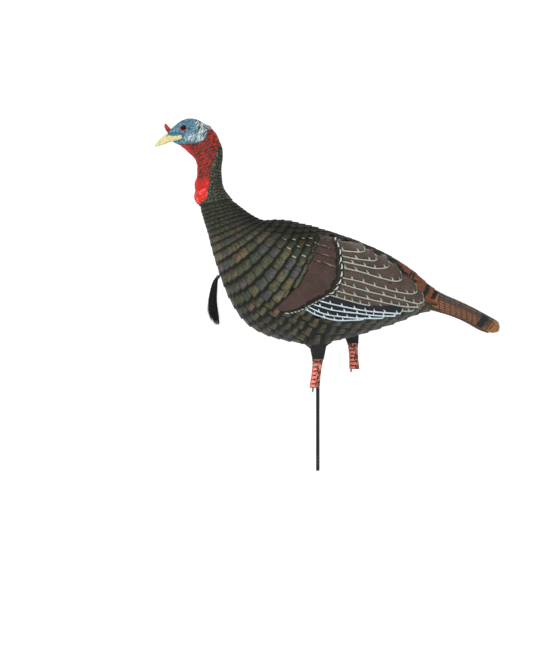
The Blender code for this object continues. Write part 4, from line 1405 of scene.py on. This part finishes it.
class DECOY_OT_beard(bpy.types.Operator):
    """Hangs the beard: a bundle of coarse hairs in a small ferrule"""

    bl_idname = "decoy.beard"
    bl_label = "Beard"

    def execute(self, context):
        plumage = Plumage()
        chance = random.Random(2)
        last = len(BEARD_ROWS) - 1
        for _ in range(HAIRS):
            angle, off = chance.uniform(0, math.tau), chance.random() ** 0.5
            spin = chance.uniform(-0.35, 0.35)
            end = chance.uniform(0.86, 1.0) - 0.16 * max(0.0, -math.cos(angle)) * off
            tame = chance.random() < 0.93
            flare = chance.uniform(0.88, 1.12) if tame else chance.uniform(1.15, 1.5)
            wide = chance.uniform(0.4, 0.8)

            def spot(across, length, angle=angle, off=off, spin=spin, end=end, flare=flare, wide=wide):
                t = length * end * last
                x, z, radius = along(BEARD_ROWS, t)
                run = heading(BEARD_ROWS, t)
                run = Vector((run.x, 0, run.y))
                out = run.cross(Vector((0, 1, 0)))
                turn = angle + spin * length
                spoke = out * math.cos(turn) + Vector((0, 0.68 * math.sin(turn), 0))
                place = Vector((x, 0, z)) + spoke * (radius * off * (1 + (flare - 1) * length))
                side = run.cross(spoke)
                taper = 1 - 0.85 * step(length, 0.8, 1.0)
                width = wide * (0.6 + 0.4 * step(length, 0, 0.3)) * taper
                return (place + side * ((across - 0.5) * width)) * MM, length * 0.13, 0.0, 0.0

            plumage.feather(spot, chance.random(), 1, 12)
        beard = plumage.finish("beard_hair", "beard", "hair", hair_paint("horsehair"), 0.35)
        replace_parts(beard, "beard_bundle")
        dark = plain_paint("ferrule", (0.010, 0.010, 0.010), (0.03, 0.03, 0.03),
                           0.4, 1500, 0.0002, Metallic=0.4)
        repaint(dark, "beard_ferrule", "beard_grommet")
        return {"FINISHED"}


class DECOY_OT_stake(bpy.types.Operator):
    """Finishes the stake and the fittings inside the bird"""

    bl_idname = "decoy.stake"
    bl_label = "Stake and fittings"

    def execute(self, context):
        rod = rod_paint("painted rod")
        repaint(rod, "stake_lower", "stake_upper", "neck_retaining_ring")
        nylon = plain_paint("black nylon", (0.010, 0.010, 0.010), (0.022, 0.022, 0.022),
                            0.5, 1200, 0.0003, Specular_IOR_Level=0.25)
        repaint(nylon, "leg_core_left", "leg_core_right", "bearing_thimble", "stake_tube",
                "tube_top_boss", "tail_bulkhead", "tail_root_block", "tail_peg", "neck_socket",
                "neck_spigot")
        return {"FINISHED"}


class DECOY_OT_stage(bpy.types.Operator):
    """Sets the floor, the lights and the camera"""

    bl_idname = "decoy.stage"
    bl_label = "Stage"

    def execute(self, context):
        settings = context.scene.decoy_stage
        self.make_floor(context.scene)
        world = bpy.data.worlds.new("studio")
        context.scene.world = world
        world.use_nodes = True
        world.node_tree.nodes["Background"].inputs["Color"].default_value = (1, 1, 1, 1)
        world.node_tree.nodes["Background"].inputs["Strength"].default_value = 0.62
        for name, place, aim, size, power in (
            ("key", (-2.0, -3.0, 3.2), (0, 0, 0.5), 1.6, 110),
            ("fill", (2.6, -2.6, 1.2), (0, 0, 0.45), 2.5, 26),
            ("rim", (1.2, 2.6, 3.0), (0, 0, 0.6), 1.8, 30),
        ):
            lamp = bpy.data.lights.new(name, "AREA")
            lamp.shape, lamp.size, lamp.energy = "DISK", size, power
            light = bpy.data.objects.new(name, lamp)
            light.location = place
            light.rotation_euler = (Vector(aim) - Vector(place)).to_track_quat("-Z", "Y").to_euler()
            context.scene.collection.objects.link(light)
        camera = bpy.data.cameras.new("camera")
        camera.lens = settings.lens
        eye = bpy.data.objects.new("camera", camera)
        eye.location = (-0.1334, -settings.distance, 0.358)
        eye.rotation_euler = (math.pi / 2, 0, 0)
        context.scene.collection.objects.link(eye)
        context.scene.camera = eye
        context.scene.view_settings.view_transform = "Standard"
        return {"FINISHED"}

    def make_floor(self, scene):
        """A white floor that curves up into a wall behind the bird."""
        front, turn_at, half_width, curve, size = -5.5, 8.5, 9, 2.0, 12
        sweep = bmesh.new()
        bmesh.ops.create_grid(sweep, x_segments=2, y_segments=40, size=1)
        for vert in sweep.verts:
            run = (vert.co.y + 1) * size / 2
            bend = max(0.0, run - turn_at)
            angle = min(bend / curve, math.pi / 2)
            vert.co = Vector((vert.co.x * half_width, front + min(run, turn_at) + curve * math.sin(angle),
                              curve - curve * math.cos(angle) + max(0, bend - math.pi) * 5))
        paint = Paint("pale floor", Roughness=0.9, Specular_IOR_Level=0.1,
                      Emission_Color=(1, 1, 1, 1), Emission_Strength=0.25)
        tone = paint.noise(paint.coords(), 3.0)
        paint.feed(Base_Color=paint.mix(tone, (0.90, 0.90, 0.90), (0.93, 0.93, 0.93)))
        mesh = from_bmesh("studio_floor", sweep)
        mesh.materials.append(paint.material)
        mesh.shade_smooth()
        floor = bpy.data.objects.new("studio_floor", mesh)
        scene.collection.objects.link(floor)


class DECOY_PT_panel(bpy.types.Panel):
    """Lists the decoy's pieces in the sidebar"""

    bl_idname = "DECOY_PT_panel"
    bl_label = "Turkey Decoy"
    bl_space_type = "VIEW_3D"
    bl_region_type = "UI"
    bl_category = "Decoy"

    def draw(self, context):
        for operator in OPERATORS:
            self.layout.operator(operator.bl_idname)
        for group in SETTINGS:
            settings = getattr(context.scene, group)
            for name in settings.bl_rna.properties.keys():
                if name not in ("rna_type", "name"):
                    self.layout.prop(settings, name)


OPERATORS = (
    DECOY_OT_body_feathers, DECOY_OT_wings, DECOY_OT_tail, DECOY_OT_head, DECOY_OT_beak, DECOY_OT_eyes,
    DECOY_OT_neck_feathers, DECOY_OT_legs, DECOY_OT_beard, DECOY_OT_stake, DECOY_OT_stage,
)
SETTINGS = {
    "decoy_plumage": DecoyPlumageSettings,
    "decoy_head": DecoyHeadSettings,
    "decoy_wings": DecoyWingSettings,
    "decoy_tail": DecoyTailSettings,
    "decoy_legs": DecoyLegSettings,
    "decoy_stage": DecoyStageSettings,
}


def register():
    for group, settings in SETTINGS.items():
        bpy.utils.register_class(settings)
        setattr(bpy.types.Scene, group, PointerProperty(type=settings))
    for item in (*OPERATORS, DECOY_PT_panel):
        bpy.utils.register_class(item)


def unregister():
    for item in (DECOY_PT_panel, *reversed(OPERATORS)):
        bpy.utils.unregister_class(item)
    for group, settings in SETTINGS.items():
        delattr(bpy.types.Scene, group)
        bpy.utils.unregister_class(settings)


def main():
    register()
    for operator in OPERATORS:
        category, name = operator.bl_idname.split(".")
        getattr(getattr(bpy.ops, category), name)()


if __name__ == "__main__":
    main()
